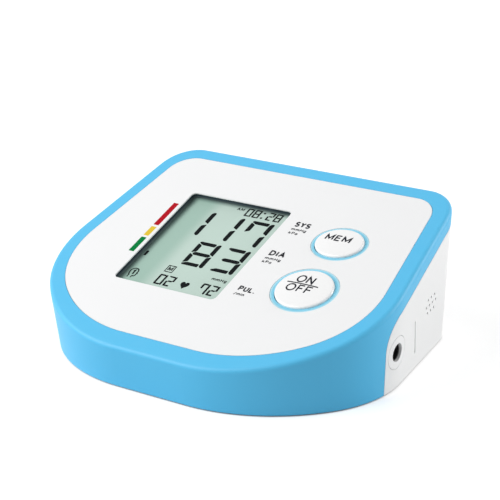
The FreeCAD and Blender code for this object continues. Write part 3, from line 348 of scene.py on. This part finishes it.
def moulding(name, colour, gloss, cloud=0.04, grain=3000.0, depth=10, dust=0.0, specular=0.5):
    """Moulded plastic, rubber or ink."""
    finish, tree, shader = blank(name)
    skin = use_group(tree, GRAIN, Colour=colour + (1,), Cloud=cloud, Grain_Size=grain, Gloss=gloss)
    shown = skin.outputs["Colour"]
    dress(tree, shader, skin, dusted(tree, shown, dust) if dust else shown, depth, specular)
    return finish


def metal(name, colour, gloss):
    finish, tree, shader = blank(name)
    lines = use_group(tree, LINES, Colour=colour + (1,), Gloss=gloss)
    tree.links.new(lines.outputs["Colour"], shader.inputs["Base Color"])
    tree.links.new(lines.outputs["Roughness"], shader.inputs["Roughness"])
    shader.inputs["Metallic"].default_value = 1.0
    bump(tree, shader, lines.outputs["Height"], METAL_DEPTH, METAL_BUMP_STRENGTH)
    return finish


def display_glass():
    """Grey-green display with painted shade: darker under the left and rear walls of its recess, and a darker
    green near the left wall.
    """
    finish, tree, shader = blank("display_glass")
    skin = use_group(tree, GRAIN, Colour=GLASS_GREY + (1,), Cloud=0.16, Cloud_Size=28.0, Grain_Size=9000.0,
                     Gloss=0.24, Gloss_Spread=0.05)
    from_left = along(tree, (1, 0, 0), (WINDOW_LEFT * MM, 0, 0))
    from_rear = along(tree, UPHILL, PANEL @ Vector((0, WINDOW_REAR * MM, 0)))
    # Painted shade: a darker green near the left wall, and a darker tone under the left and rear walls
    deeper = maths(tree, "MULTIPLY", fade(tree, from_left, *GREEN_SHADE_FADE), GREEN_SHADE_SHARE)
    greener = mix_colour(tree, deeper, skin.outputs["Colour"], GLASS_GREEN_SHADE)
    left_wall = fade(tree, from_left, *LEFT_FADE)
    rear_wall = fade(tree, from_rear, *REAR_FADE)
    shade = maths(tree, "MULTIPLY", maths(tree, "MAXIMUM", left_wall, rear_wall), SHADE_SHARE)
    shown = mix_colour(tree, shade, greener, GLASS_SHADE)
    dress(tree, shader, skin, shown, depth=2, specular=0.3)
    return finish


def dark_frame():
    """Blue-black surround of the display, paler at the foot of its walls where the display lights it."""
    finish, tree, shader = blank("dark_frame")
    skin = use_group(tree, GRAIN, Colour=FRAME_BLACK + (1,), Cloud=0.15, Gloss=0.5)
    foot = fade(tree, along(tree, OUTWARD, PANEL.translation), FRAME_LIT_TOP, GLASS_TOP)
    lit = maths(tree, "MULTIPLY", foot, FRAME_LIT_SHARE)
    shown = mix_colour(tree, lit, skin.outputs["Colour"], FRAME_LIT)
    dress(tree, shader, skin, shown, depth=10, specular=0.3)
    return finish


def blue_shell():
    """Blue moulding, with a paler blue painted on the rings round the two buttons as a painted reflection,
    and a paler painted highlight at their outer edge.
    """
    finish, tree, shader = blank("blue_shell")
    skin = use_group(tree, GRAIN, Colour=BLUE + (1,), Cloud=0.03, Gloss=0.44)
    shown = skin.outputs["Colour"]
    for button in BUTTONS.values():
        middle = PANEL @ (Vector((*button["middle"], 0)) * MM)
        wide, deep = button["ring"]
        across = maths(tree, "DIVIDE", along(tree, (1, 0, 0), middle), wide * MM)
        uphill = maths(tree, "DIVIDE", along(tree, UPHILL, middle), deep * MM)
        away = square_sum(tree, across, uphill)
        # Painted reflection: a paler blue on each ring; painted highlight: paler still at its outer edge
        on_ring = maths(tree, "LESS_THAN", away, 1.0)
        shown = mix_colour(tree, on_ring, shown, RING_REFLECTION_BLUE)
        edge = maths(tree, "MULTIPLY", ramp(tree, away, RING_HIGHLIGHT_FROM, 1.0), on_ring)
        shown = mix_colour(tree, edge, shown, RING_EDGE_HIGHLIGHT)
    dress(tree, shader, skin, dusted(tree, shown, amount=0.04), depth=12, specular=0.4)
    return finish


def air_socket():
    """White rim and mouth, with black painted shade further in the bore."""
    finish, tree, shader = blank("socket_plastic")
    skin = use_group(tree, GRAIN, Colour=WHITE + (1,), Cloud=0.03, Gloss=0.4)
    height = along(tree, (0, 0, 1), (0, 0, SOCKET_Z * MM))
    depth = along(tree, (0, 1, 0), (0, SOCKET_Y * MM, 0))
    away = maths(tree, "SQRT", square_sum(tree, height, depth))
    # Painted shade: the bore turns black further in
    inward = along(tree, (-1, 0, 0), (BORE_SHADE_X * MM, 0, 0))
    bore = fade(tree, away, SOCKET_BORE + BORE_BLUR, SOCKET_BORE - BORE_BLUR)
    bore_shade = maths(tree, "MULTIPLY", bore, fade(tree, inward, -BORE_SHADE_BLUR, BORE_SHADE_BLUR))
    dress(tree, shader, skin, mix_colour(tree, bore_shade, skin.outputs["Colour"], BORE_SHADE_BLACK), depth=12)
    return finish


def cell_jacket(name, raised_end, aim):
    """A dry cell: steel ends, a copper band at the raised end and a dark jacket; aim is 1 or -1 along y,
    the way the raised end looks."""
    finish, tree, shader = blank(name)
    skin = use_group(tree, GRAIN, Colour=JACKET_BLACK + (1,), Cloud=0.1, Gloss=0.28)
    far = along(tree, (0, -aim, 0), (0, raised_end * MM, 0))
    band = fade(tree, far, CELL_BAND + CELL_BLUR, CELL_BAND - CELL_BLUR)
    flat_end = CELL_LENGTH - CELL_STEEL
    ends = maths(tree, "MAXIMUM", fade(tree, far, CELL_STEEL + CELL_BLUR, CELL_STEEL),
                 fade(tree, far, flat_end, flat_end + CELL_BLUR))
    coloured = mix_colour(tree, band, skin.outputs["Colour"], BAND_COPPER)
    dress(tree, shader, skin, mix_colour(tree, ends, coloured, CELL_END_GREY), depth=4)
    tree.links.new(ends, shader.inputs["Metallic"])
    return finish


FACE_INK = {"gloss": 0.5, "grain": 5000.0, "depth": 3, "specular": 0.03}
DARK_INK = {**FACE_INK, "cloud": 0.25}
BAR_INK = {**FACE_INK, "cloud": 0.12}
RUBBER = {"gloss": 0.8, "grain": 1500.0, "depth": 30}

MOULDINGS = {
    "white_shell": {"colour": WHITE, "gloss": 0.4, "cloud": 0.025, "dust": 0.03, "depth": 14},
    "white_plate": {"colour": (0.9, 0.905, 0.91), "gloss": 0.3, "cloud": 0.02, "dust": 0.03, "depth": 6},
    "button_white": {"colour": (0.94, 0.942, 0.942), "gloss": 0.25, "cloud": 0.02, "dust": 0.02, "depth": 5,
                     "specular": 0.8},
    "reflector_white": {"colour": (0.75, 0.76, 0.74), "gloss": 0.5},
    "strip_rubber": {"colour": (0.1, 0.1, 0.11), "gloss": 0.7, "cloud": 0.2},
    "board_green": {"colour": (0.02, 0.14, 0.05), "gloss": 0.35, "cloud": 0.25, "grain": 1200.0, "depth": 20},
    "chip_black": {"colour": (0.015, 0.015, 0.016), "gloss": 0.55, "cloud": 0.2},
    "sensor_white": {"colour": (0.62, 0.62, 0.58), "gloss": 0.5},
    "switch_black": {"colour": (0.02, 0.02, 0.02), "gloss": 0.5, "cloud": 0.2},
    "switch_body": {"colour": (0.05, 0.05, 0.055), "gloss": 0.45, "cloud": 0.2},
    "pump_plastic": {"colour": (0.5, 0.51, 0.51), "gloss": 0.5, "cloud": 0.08},
    "black_rubber": {"colour": (0.02, 0.02, 0.02), "cloud": 0.3, **RUBBER},
    "valve_plastic": {"colour": (0.03, 0.03, 0.032), "gloss": 0.5, "cloud": 0.2},
    "fitting_plastic": {"colour": (0.66, 0.67, 0.67), "gloss": 0.45},
    "foot_rubber": {"colour": (0.5, 0.51, 0.53), "cloud": 0.12, **RUBBER},
    "silicone_tube": {"colour": (0.7, 0.71, 0.69), "gloss": 0.45, "cloud": 0.06},
    "lead_red": {"colour": (0.45, 0.02, 0.02), "gloss": 0.45, "cloud": 0.1},
    "lead_black": {"colour": (0.012, 0.012, 0.012), "gloss": 0.45, "cloud": 0.2},
    "label_ink": {"colour": (0.02, 0.022, 0.028), **DARK_INK},
    "button_ink": {"colour": (0.02, 0.022, 0.03), **DARK_INK},
    "display_ink": {"colour": (0.006, 0.008, 0.009), "gloss": 0.45, "cloud": 0.3, "grain": 8000.0, "depth": 2,
                    "specular": 0.03},
    "bar_red": {"colour": (0.46, 0.008, 0.018), **BAR_INK},
    "bar_yellow": {"colour": (0.78, 0.56, 0.05), **BAR_INK, "gloss": 0.42},
    "bar_green": {"colour": (0.0, 0.2, 0.045), **BAR_INK},
}
METALS = {
    "motor_steel": ((0.52, 0.52, 0.53), 0.35),
    "shaft_steel": ((0.6, 0.6, 0.61), 0.22),
    "screw_steel": ((0.5, 0.5, 0.51), 0.32),
    "contact_steel": ((0.62, 0.6, 0.56), 0.28),
    "buzzer_brass": ((0.62, 0.45, 0.16), 0.3),
}

finishes = {name: moulding(name, **look) for name, look in MOULDINGS.items()}
finishes.update({name: metal(name, colour, gloss) for name, (colour, gloss) in METALS.items()})
finishes["blue_shell"] = blue_shell()
finishes["dark_frame"] = dark_frame()
finishes["display_glass"] = display_glass()
finishes["socket_plastic"] = air_socket()
finishes["cell_jacket"] = cell_jacket("cell_jacket", CELL_REAR, 1)
turned_jacket = cell_jacket("cell_jacket_turned", CELL_FRONT, -1)

for part in frame["record"]["subparts"]:
    shown = frame["nodes"][part["node"]]
    turned = part["node"] in TURNED_CELLS
    shown.data.materials.clear()
    shown.data.materials.append(turned_jacket if turned else finishes[part["material_slot"]])


# Prints, ring edges and the cover's arrow, drawn in face millimetres

# Drawing: steps of a rounded corner, how near two points count as one, the least cosine at a mitre, which
# keeps its point short, and the most of a side that rounding takes from each end
CORNER_STEPS = 3
SAME_POINT = 1e-6
LEAST_MITRE = 0.4
MOST_ROUND_SHARE = 0.45


def keep(name, bm, finish, body, home=PANEL):
    """Makes a piece of a closed form drawn in millimetres."""
    bmesh.ops.recalc_face_normals(bm, faces=bm.faces)
    bmesh.ops.transform(bm, matrix=home @ Matrix.Scale(MM, 4), verts=bm.verts)
    mesh = bpy.data.meshes.new(name)
    bm.to_mesh(mesh)
    bm.free()
    mesh.materials.append(finishes[finish])
    piece = bpy.data.objects.new(name, mesh)
    scene.collection.objects.link(piece)
    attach(piece, body)


def settle(name, bm, finish, body, rest, thick=PRINT_THICK, home=PANEL):
    """Turns faces drawn in the plane of home into a thin print lying on the rest surface."""
    for vert in bm.verts:
        vert.co.z = rest(vert.co.x, vert.co.y)
    lifted = bmesh.ops.extrude_face_region(bm, geom=list(bm.faces))
    tops = [part for part in lifted["geom"] if isinstance(part, bmesh.types.BMVert)]
    bmesh.ops.translate(bm, verts=tops, vec=(0, 0, thick))
    keep(name, bm, finish, body, home)


def level(height):
    return lambda x, v: height


PLATE_FACE = level(PRINT_ROOM)
GLASS_FACE = level(GLASS_TOP + PRINT_ROOM)


def dome_face(button):
    """The domed top of a button cap."""
    (mid_x, mid_v), (wide, deep) = button["middle"], button["cap"]

    def height(x, v):
        away = ((x - mid_x) / (wide * DOME_SPREAD)) ** 2 + ((v - mid_v) / (deep * DOME_SPREAD)) ** 2
        return DOME_TOP - DOME_RISE + DOME_RISE * math.sqrt(1.0 - away) + PRINT_ROOM
    return height


def polygon(bm, points):
    bm.faces.new([bm.verts.new((x, v, 0)) for x, v in points])


def bow(mid_x, mid_v, wide, deep, start, end, steps=10):
    """Points of an elliptical arc, angles in degrees."""
    turns = [math.radians(start + (end - start) * k / steps) for k in range(steps + 1)]
    return [(mid_x + wide * math.cos(turn), mid_v + deep * math.sin(turn)) for turn in turns]


def bar(bm, left, right, low, high, round_by):
    """A rectangle with small rounded corners."""
    corners = ((right - round_by, high - round_by, 0), (left + round_by, high - round_by, 90),
               (left + round_by, low + round_by, 180), (right - round_by, low + round_by, 270))
    points = []
    for mid_x, mid_v, start in corners:
        points += bow(mid_x, mid_v, round_by, round_by, start, start + 90, CORNER_STEPS)
    polygon(bm, points)


# Letters as strokes over a capital height of 1: width, then the lines of the pen
LETTERS = {
    "S": (0.58, [bow(0.29, 0.75, 0.27, 0.25, 25, 270) + bow(0.29, 0.26, 0.29, 0.26, 80, -155)]),
    "Y": (0.66, [[(0, 1), (0.33, 0.5), (0.66, 1)], [(0.33, 0.5), (0.33, 0)]]),
    "m": (0.8, [[(0, 0), (0, 0.7)], [(0, 0.45)] + bow(0.2, 0.45, 0.2, 0.25, 180, 0, 6) + [(0.4, 0)],
                [(0.4, 0.45)] + bow(0.6, 0.45, 0.2, 0.25, 180, 0, 6) + [(0.8, 0)]]),
    "n": (0.44, [[(0, 0), (0, 0.7)], [(0, 0.42)] + bow(0.22, 0.42, 0.22, 0.28, 180, 0, 6) + [(0.44, 0)]]),
    "i": (0.0, [[(0, 0), (0, 0.7)], [(0, 0.86), (0, 1.0)]]),
    "H": (0.6, [[(0, 0), (0, 1)], [(0.6, 0), (0.6, 1)], [(0, 0.5), (0.6, 0.5)]]),
    "g": (0.5, [bow(0.25, 0.36, 0.25, 0.33, 0, 360, 14),
                [(0.5, 0.7), (0.5, -0.08)] + bow(0.26, -0.08, 0.24, 0.2, 0, -150, 6)[1:]]),
    "k": (0.46, [[(0, 0), (0, 1)], [(0.44, 0.7), (0.02, 0.28)], [(0.16, 0.42), (0.46, 0)]]),
    "P": (0.56, [[(0, 0), (0, 1)] + bow(0.3, 0.74, 0.26, 0.26, 90, -90, 8) + [(0, 0.48)]]),
    "a": (0.48, [bow(0.24, 0.34, 0.24, 0.34, 0, 360, 14), [(0.48, 0.7), (0.48, 0)]]),
    "D": (0.66, [[(0, 0), (0, 1)] + bow(0.24, 0.5, 0.42, 0.5, 90, -90, 12) + [(0, 0)]]),
    "I": (0.0, [[(0, 0), (0, 1)]]),
    "A": (0.72, [[(0, 0), (0.36, 1), (0.72, 0)], [(0.13, 0.36), (0.59, 0.36)]]),
    "U": (0.6, [[(0, 1)] + bow(0.3, 0.32, 0.3, 0.32, 180, 360, 10) + [(0.6, 1)]]),
    "L": (0.5, [[(0, 1), (0, 0), (0.5, 0)]]),
    ".": (0.0, [[(0, -0.06), (0, 0.1)]]),
    "/": (0.4, [[(0, -0.12), (0.4, 1.05)]]),
    "O": (0.86, [bow(0.43, 0.5, 0.43, 0.5, 0, 360, 28)]),
    "N": (0.64, [[(0, 0), (0, 1), (0.64, 0), (0.64, 1)]]),
    "F": (0.52, [[(0.52, 1), (0, 1), (0, 0)], [(0, 0.52), (0.46, 0.52)]]),
    "M": (0.78, [[(0, 0), (0, 1), (0.39, 0.2), (0.78, 1), (0.78, 0)]]),
    "E": (0.52, [[(0.52, 1), (0, 1), (0, 0), (0.52, 0)], [(0, 0.52), (0.46, 0.52)]]),
    "1": (0.24, [[(0, 0.78), (0.24, 1), (0.24, 0)]]),
}
LETTER_GAP = 0.16


def pen_line(bm, points, pen, step=None):
    """A ribbon of pen width along points, mitred where it turns; step divides long runs."""
    points = [Vector(point) for point in points]
    if step:
        fine = [points[0]]
        for first, last in zip(points, points[1:]):
            runs = max(1, round((last - first).length / step))
            fine += [first.lerp(last, k / runs) for k in range(1, runs + 1)]
        points = fine
    closed = (points[0] - points[-1]).length < SAME_POINT
    if closed:
        points.pop()
    count = len(points)
    sides = []
    for k, point in enumerate(points):
        before = point - points[k - 1] if k or closed else points[1] - point
        after = points[(k + 1) % count] - point if k < count - 1 or closed else before
        before, after = before.normalized(), after.normalized()
        across = Vector((-before.y - after.y, before.x + after.x)).normalized()
        reach = across * (pen / 2 / max(LEAST_MITRE, across.dot(Vector((-before.y, before.x)))))
        sides.append([bm.verts.new((*spot, 0)) for spot in (point + reach, point - reach)])
    for k in range(count if closed else count - 1):
        (left, right), (next_left, next_right) = sides[k], sides[(k + 1) % count]
        bm.faces.new((left, right, next_right, next_left))


def words(bm, text, left, right, low, high, weight, step=None):
    """Letters drawn into a box; low and high are the foot and head of the capitals, weight is the pen in
    shares of their height."""
    tall = high - low
    pen = weight * tall
    gap = LETTER_GAP + weight
    widths = [LETTERS[letter][0] for letter in text]
    stretch = (right - left - pen) / (sum(widths) + gap * (len(text) - 1))
    start = left + pen / 2
    for letter, wide in zip(text, widths):
        for line in LETTERS[letter][1]:
            placed = [(start + x * stretch, low + pen / 2 + v * (tall - pen)) for x, v in line]
            pen_line(bm, placed, pen, step)
        start += (wide + gap) * stretch


# Lit bars of each figure: a top, b and c right, d bottom, e and f left, g middle
LIT = {"0": "abcdef", "1": "bc", "2": "abged", "3": "abgcd", "7": "abcf", "8": "abcdefg"}

# Shares of a figure's upright bar width: thickness of the level bars, their taper on the left, slant at
# the waist, cut at the corners, rounding
THIN_SHARE = 0.87
TAPER_SHARE = 0.38
SLANT_SHARE = 0.5
CUT_SHARE = 0.42
SOFT_SHARE = 0.2

# Figures with a smaller gap than this have square waists
SLANT_GAP = 0.1


def softened(points, by):
    """The points of a polygon, each corner replaced by three points of a curve that rounds it."""
    points = [Vector(point) for point in points]
    rounded = []
    for k, corner in enumerate(points):
        before = points[k - 1] - corner
        after = points[(k + 1) % len(points)] - corner
        first = corner + before * min(MOST_ROUND_SHARE, by / before.length)
        last = corner + after * min(MOST_ROUND_SHARE, by / after.length)
        rounded += [first, (first + corner * 2 + last) / 4, last]
    return rounded


def digit(bm, figure, left, low, wide, tall, stroke, gap):
    """One seven-bar figure: the right bars run to the corners and the others stop short of them."""
    right, high, mid = left + wide, low + tall, low + tall / 2
    thin, taper = stroke * THIN_SHARE, stroke * TAPER_SHARE
    slanted = gap > SLANT_GAP
    slant, cut = stroke * SLANT_SHARE * slanted, stroke * CUT_SHARE
    inner_left, inner_right = left + stroke, right - stroke
    tip, shoulder = (cut, thin / 2) if slanted else (stroke + gap, 0)
    for name in LIT[figure]:
        edge, lean = (high, 1) if name in "abf" else (low, -1)
        waist = mid + lean * gap / 2
        if name in "ad":
            points = [(left + cut / 2, edge), (inner_right - gap, edge),
                      (inner_right - gap, edge - lean * thin), (inner_left, edge - lean * thin),
                      (left, edge - lean * taper)]
        elif name in "bc":
            points = [(right, waist), (right, edge - lean * cut / 2), (right - cut / 2, edge),
                      (inner_right + cut, edge), (inner_right, edge - lean * cut),
                      (inner_right, waist + lean * slant)]
        elif name in "ef":
            points = [(left, waist), (inner_left, waist + lean * slant),
                      (inner_left, edge - lean * (thin + gap)), (left, edge - lean * (taper + gap))]
        else:
            points = [(left + tip, mid), (left + tip + shoulder, mid + thin / 2),
                      (right - tip - shoulder, mid + thin / 2), (right - tip, mid),
                      (right - tip - shoulder, mid - thin / 2), (left + tip + shoulder, mid - thin / 2)]
        polygon(bm, softened(points, stroke * SOFT_SHARE))


# Words: text, left, right, foot, head, pen in shares of the height
FACE_LABELS = {
    "systolic_label": [
        ("SYS", 11.2, 17.3, 20.5, 23.1, 0.225),
        ("mmHg", 11.3, 17.2, 18.5, 19.8, 0.2),
        ("kPa", 11.35, 14.95, 16.5, 17.8, 0.2),
    ],
    "diastolic_label": [
        ("DIA", 11.15, 17.3, 4.65, 7.25, 0.225),
        ("mmHg", 11.05, 17.25, 2.55, 3.85, 0.2),
        ("kPa", 11.05, 14.75, 0.7, 2.0, 0.2),
    ],
    "pulse_label": [
        ("PUL.", 11.2, 17.85, -14.15, -11.7, 0.215),
        ("/min", 11.1, 15.2, -16.3, -15.0, 0.2),
    ],
}
BUTTON_WORDS = {
    "power": [("ON", 28.95, 35.65, -5.65, -1.95, 0.155), ("OFF", 27.55, 37.3, -10.2, -6.65, 0.155)],
    "mem": [("MEM", 26.4, 36.2, 16.3, 19.35, 0.19)],
}
DISPLAY_WORDS = [("AM", -16.6, -13.5, 25.0, 26.4, 0.2), ("mmHg", -2.85, 3.25, -10.3, -8.9, 0.2)]
MEMORY_LETTER = ("M", -21.5, -19.5, -10.6, -8.6, 0.25)
USER_NUMBER = ("1", -33.4, -32.25, -16.15, -13.6, 0.26)

# Line between ON and OFF: its two ends, its thickness, and the step that lets a print follow the dome
DIVIDER = ((26.4, -6.135), (38.4, -6.135))
DIVIDER_PEN = 0.47
CAP_STEP = 0.4

# Pressure bars beside the display: left and right side, then foot and head of each
BAR_SIDES = (-39.9, -37.7)
BAR_ENDS = {"red": (7.45, 20.05), "yellow": (1.4, 6.4), "green": (-7.4, 0.4)}
BAR_ROUND = 0.15

# Figures on the display: text, left, foot, width, height, pitch, stroke, gap between bars
FIGURES = {
    "systolic_figures": ("117", -31.5, 8.7, 9.2, 12.7, 12.4, 1.82, 0.34),
    "diastolic_figures": (" 83", -31.25, -6.2, 9.2, 12.5, 12.4, 1.82, 0.34),
    "memory_figures": ("02", -22.25, -17.85, 3.3, 5.15, 3.95, 0.8, 0.03),
    "pulse_figures": ("72", -4.1, -17.6, 3.2, 5.1, 3.85, 0.8, 0.03),
    "clock_hours": ("08", -12.2, 22.8, 2.7, 4.2, 3.25, 0.66, 0.03),
    "clock_minutes": ("28", -3.2, 22.8, 2.7, 4.2, 3.2, 0.66, 0.03),
}

# Small bars on the display: left, right, foot, head, rounding
COLON_DOTS = [(-5.35, -4.55, 23.0, 23.75, 0.15), (-5.35, -4.55, 25.6, 26.35, 0.15)]
MEMORY_FRAME = [(-22.2, -18.8, -11.35, -11.0, 0.05), (-22.2, -18.8, -8.25, -7.9, 0.05),
                (-22.2, -21.85, -11.0, -8.25, 0.05), (-19.15, -18.8, -11.0, -8.25, 0.05)]
POINTER = (-35.2, -34.15, -6.0, -3.5, 0.25)

# Heart: its middle, the size of its curve's unit across and up, and the points on it
HEART_MIDDLE = (-10.4, -15.4)
HEART_WIDE = 0.108
HEART_TALL = 0.122
HEART_STEPS = 40

# Head outline round the user's number, from the nape to the throat
HEAD_OUTLINE = [(-33.75, -17.6), (-33.7, -16.5), (-34.2, -15.5), (-34.35, -14.3), (-33.95, -13.4),
                (-33.15, -12.9), (-32.25, -12.9), (-31.55, -13.3), (-31.2, -14.1), (-31.3, -14.7),
                (-30.95, -15.3), (-31.2, -15.6), (-31.2, -16.3), (-31.55, -16.7), (-32.15, -16.6),
                (-32.25, -17.6)]
HEAD_PEN = 0.45

# Inner edge of the button rings, out from the cap: its slit, the slit on the open side, and its outer side;
# its foot and top; the middle of the open side and half its width in degrees; how fast it closes at its ends
EDGE_SLIT = 0.06
EDGE_SLIT_OPEN = 0.28
EDGE_OUTSIDE = 0.29
EDGE_LOW = -0.6
EDGE_TOP = -0.1
EDGE_OPEN_AT = 207.0
EDGE_OPEN_HALF = 42.0
EDGE_OPEN_POWER = 4
EDGE_STEPS = 180

# Arrow on the battery cover: its middle in the world, its outline and how it stands on the cover
ARROW_AT = (-22.0, 20.5, 0.6)
ARROW = [(0, -4.5), (3.6, 0.4), (1.3, 0.4), (1.3, 4.5), (-1.3, 4.5), (-1.3, 0.4), (-3.6, 0.4)]
ARROW_SINK = -0.02
ARROW_THICK = 0.12


def face_labels():
    for name, rows in FACE_LABELS.items():
        bm = bmesh.new()
        for row in rows:
            words(bm, *row)
        settle(name, bm, "label_ink", "housing", PLATE_FACE)
    for name, ends in BAR_ENDS.items():
        bm = bmesh.new()
        bar(bm, *BAR_SIDES, *ends, BAR_ROUND)
        settle("pressure_bar_" + name, bm, "bar_" + name, "housing", PLATE_FACE)


def ring_edges():
    """Inner edge of the blue ring round each button: it nearly meets the cap, and the slit that is left
    opens on one side, almost to the full gap between ring and cap."""
    for key, button in BUTTONS.items():
        (mid_x, mid_v), (wide, deep) = button["middle"], button["cap"]
        bm = bmesh.new()
        rows = []
        for step in range(EDGE_STEPS):
            turn = math.tau * step / EDGE_STEPS
            off = math.remainder(turn - math.radians(EDGE_OPEN_AT), math.tau) / math.radians(EDGE_OPEN_HALF)
            open_share = max(0.0, 1.0 - off ** EDGE_OPEN_POWER)
            slit = EDGE_SLIT + (EDGE_SLIT_OPEN - EDGE_SLIT) * open_share
            section = ((slit, EDGE_LOW), (EDGE_OUTSIDE, EDGE_LOW), (EDGE_OUTSIDE, EDGE_TOP), (slit, EDGE_TOP))
            rows.append([bm.verts.new((mid_x + (wide + away) * math.cos(turn),
                                       mid_v + (deep + away) * math.sin(turn), height))
                         for away, height in section])
        for here, there in zip(rows, rows[1:] + rows[:1]):
            for at in range(len(here)):
                bm.faces.new((here[at - 1], there[at - 1], there[at], here[at]))
        keep(key + "_ring_edge", bm, "blue_shell", "housing")


def button_prints():
    for key, rows in BUTTON_WORDS.items():
        bm = bmesh.new()
        for row in rows:
            words(bm, *row, CAP_STEP)
        if key == "power":
            pen_line(bm, DIVIDER, DIVIDER_PEN, CAP_STEP)
        settle(key + "_button_print", bm, "button_ink", key + "_key", dome_face(BUTTONS[key]))


def cover_arrow():
    """Raised arrow on the outside of the battery cover, pointing away from its hinge."""
    under = Matrix.Translation(Vector(ARROW_AT) * MM) @ Matrix.Rotation(math.pi, 4, "X")
    bm = bmesh.new()
    polygon(bm, ARROW)
    settle("cover_arrow", bm, "foot_rubber", "cover", level(ARROW_SINK), ARROW_THICK, under)


def heart(bm):
    """The usual heart curve: a cubed sine across and four cosines up, with its own whole numbers."""
    mid_x, mid_v = HEART_MIDDLE
    points = []
    for k in range(HEART_STEPS):
        turn = math.tau * k / HEART_STEPS
        lobe = 13 * math.cos(turn) - 5 * math.cos(2 * turn) - 2 * math.cos(3 * turn) - math.cos(4 * turn)
        points.append((mid_x + HEART_WIDE * 16 * math.sin(turn) ** 3, mid_v + HEART_TALL * lobe))
    polygon(bm, points)


def display_prints():
    prints = {name: bmesh.new() for name in ("display_words", "memory_icon", "heart_icon", "user_icon",
                                             "level_pointer", *FIGURES, "clock_colon")}
    for row in DISPLAY_WORDS:
        words(prints["display_words"], *row)
    for sides in MEMORY_FRAME:
        bar(prints["memory_icon"], *sides)
    words(prints["memory_icon"], *MEMORY_LETTER)
    heart(prints["heart_icon"])
    pen_line(prints["user_icon"], HEAD_OUTLINE, HEAD_PEN)
    words(prints["user_icon"], *USER_NUMBER)
    bar(prints["level_pointer"], *POINTER)
    for name, (text, left, low, wide, tall, pitch, stroke, gap) in FIGURES.items():
        for place, figure in enumerate(text):
            if figure != " ":
                digit(prints[name], figure, left + place * pitch, low, wide, tall, stroke, gap)
    for sides in COLON_DOTS:
        bar(prints["clock_colon"], *sides)
    for name, bm in prints.items():
        settle(name, bm, "display_ink", "housing", GLASS_FACE)


face_labels()
ring_edges()
button_prints()
cover_arrow()
display_prints()


# Stage, light and camera

# Floor: half its side in metres, its grey and its glow; the glow fades out where something stands within
# the reach above it, between two shares of open sky
FLOOR_REACH = 3.0
FLOOR_GREY = 0.68
FLOOR_GLOW = 0.52
SHADOW_REACH = 0.006
SHADOW_RAMP = (0.02, 0.42)

# Sky: its strength as a light
SKY_LIGHT = 0.37

# Lamps: place and side in metres and power in watts; the point they aim at
LAMPS = {
    "key": ((-0.72, -0.64, 0.7), 1.0, 13.0),
    "fill": ((0.77, 0.72, 0.42), 0.7, 7.2),
}
LIT_POINT = (0, 0, 0.02)

# Camera: place in metres, the way it looks, its right hand, its lens and sensor in millimetres, and the
# nearest distance it shows in metres
CAMERA_AT = (0.35433, -0.44923, 0.24995)
CAMERA_AHEAD = (-0.57219, 0.7404, -0.35271)
CAMERA_RIGHT = (0.80164, 0.59572, -0.04997)
CAMERA_LENS = 132.73
CAMERA_SENSOR = 36.0
CAMERA_NEAR = 0.01


def seen_rays(tree):
    """1 for rays that show the background, straight on, mirrored or through glass."""
    path = tree.nodes.new("ShaderNodeLightPath")
    mirrored = maths(tree, "MAXIMUM", path.outputs["Is Glossy Ray"], path.outputs["Is Transmission Ray"])
    return maths(tree, "MAXIMUM", path.outputs["Is Camera Ray"], mirrored)


def stage():
    mesh = bpy.data.meshes.new("floor")
    corners = [(x * FLOOR_REACH, y * FLOOR_REACH, 0) for x, y in ((-1, -1), (1, -1), (1, 1), (-1, 1))]
    mesh.from_pydata(corners, [], [(0, 1, 2, 3)])
    floor = bpy.data.objects.new("floor", mesh)
    scene.collection.objects.link(floor)
    finish, tree, shader = blank("pale_floor")
    skin = use_group(tree, GRAIN, Colour=(FLOOR_GREY, FLOOR_GREY, FLOOR_GREY, 1), Cloud=0.01, Gloss=0.9,
                     Gloss_Spread=0.02)
    tree.links.new(skin.outputs["Colour"], shader.inputs["Base Color"])
    tree.links.new(skin.outputs["Roughness"], shader.inputs["Roughness"])
    shader.inputs["Specular IOR Level"].default_value = 0.0
    shader.inputs["Emission Color"].default_value = (1, 1, 1, 1)
    nearness = tree.nodes.new("ShaderNodeAmbientOcclusion")
    nearness.inputs["Distance"].default_value = SHADOW_REACH
    bare = ramp(tree, nearness.outputs["AO"], *SHADOW_RAMP)
    glow = maths(tree, "MULTIPLY", maths(tree, "MULTIPLY", seen_rays(tree), FLOOR_GLOW), bare)
    tree.links.new(glow, shader.inputs["Emission Strength"])
    mesh.materials.append(finish)


def sky():
    world = bpy.data.worlds.new("studio")
    scene.world = world
    world.use_nodes = True
    tree = world.node_tree
    back = tree.nodes["Background"]
    back.inputs["Color"].default_value = (1, 1, 1, 1)
    strength = maths(tree, "MULTIPLY_ADD", seen_rays(tree), 1.0 - SKY_LIGHT, SKY_LIGHT)
    tree.links.new(strength, back.inputs["Strength"])


def lamp(name, at, wide, power):
    data = bpy.data.lights.new(name, "AREA")
    data.shape = "SQUARE"
    data.size = wide
    data.energy = power
    light = bpy.data.objects.new(name, data)
    light.location = at
    light.rotation_euler = (Vector(LIT_POINT) - Vector(at)).to_track_quat("-Z", "Y").to_euler()
    scene.collection.objects.link(light)


def camera():
    data = bpy.data.cameras.new("photo_view")
    data.sensor_width = CAMERA_SENSOR
    data.lens = CAMERA_LENS
    data.clip_start = CAMERA_NEAR
    view = bpy.data.objects.new("photo_view", data)
    ahead = Vector(CAMERA_AHEAD).normalized()
    right = Vector(CAMERA_RIGHT)
    right = (right - ahead * right.dot(ahead)).normalized()
    turn = Matrix((right, right.cross(ahead), -ahead)).transposed().to_4x4()
    view.matrix_world = Matrix.Translation(CAMERA_AT) @ turn
    scene.collection.objects.link(view)
    scene.camera = view


stage()
sky()
for name, (at, wide, power) in LAMPS.items():
    lamp(name, at, wide, power)
camera()
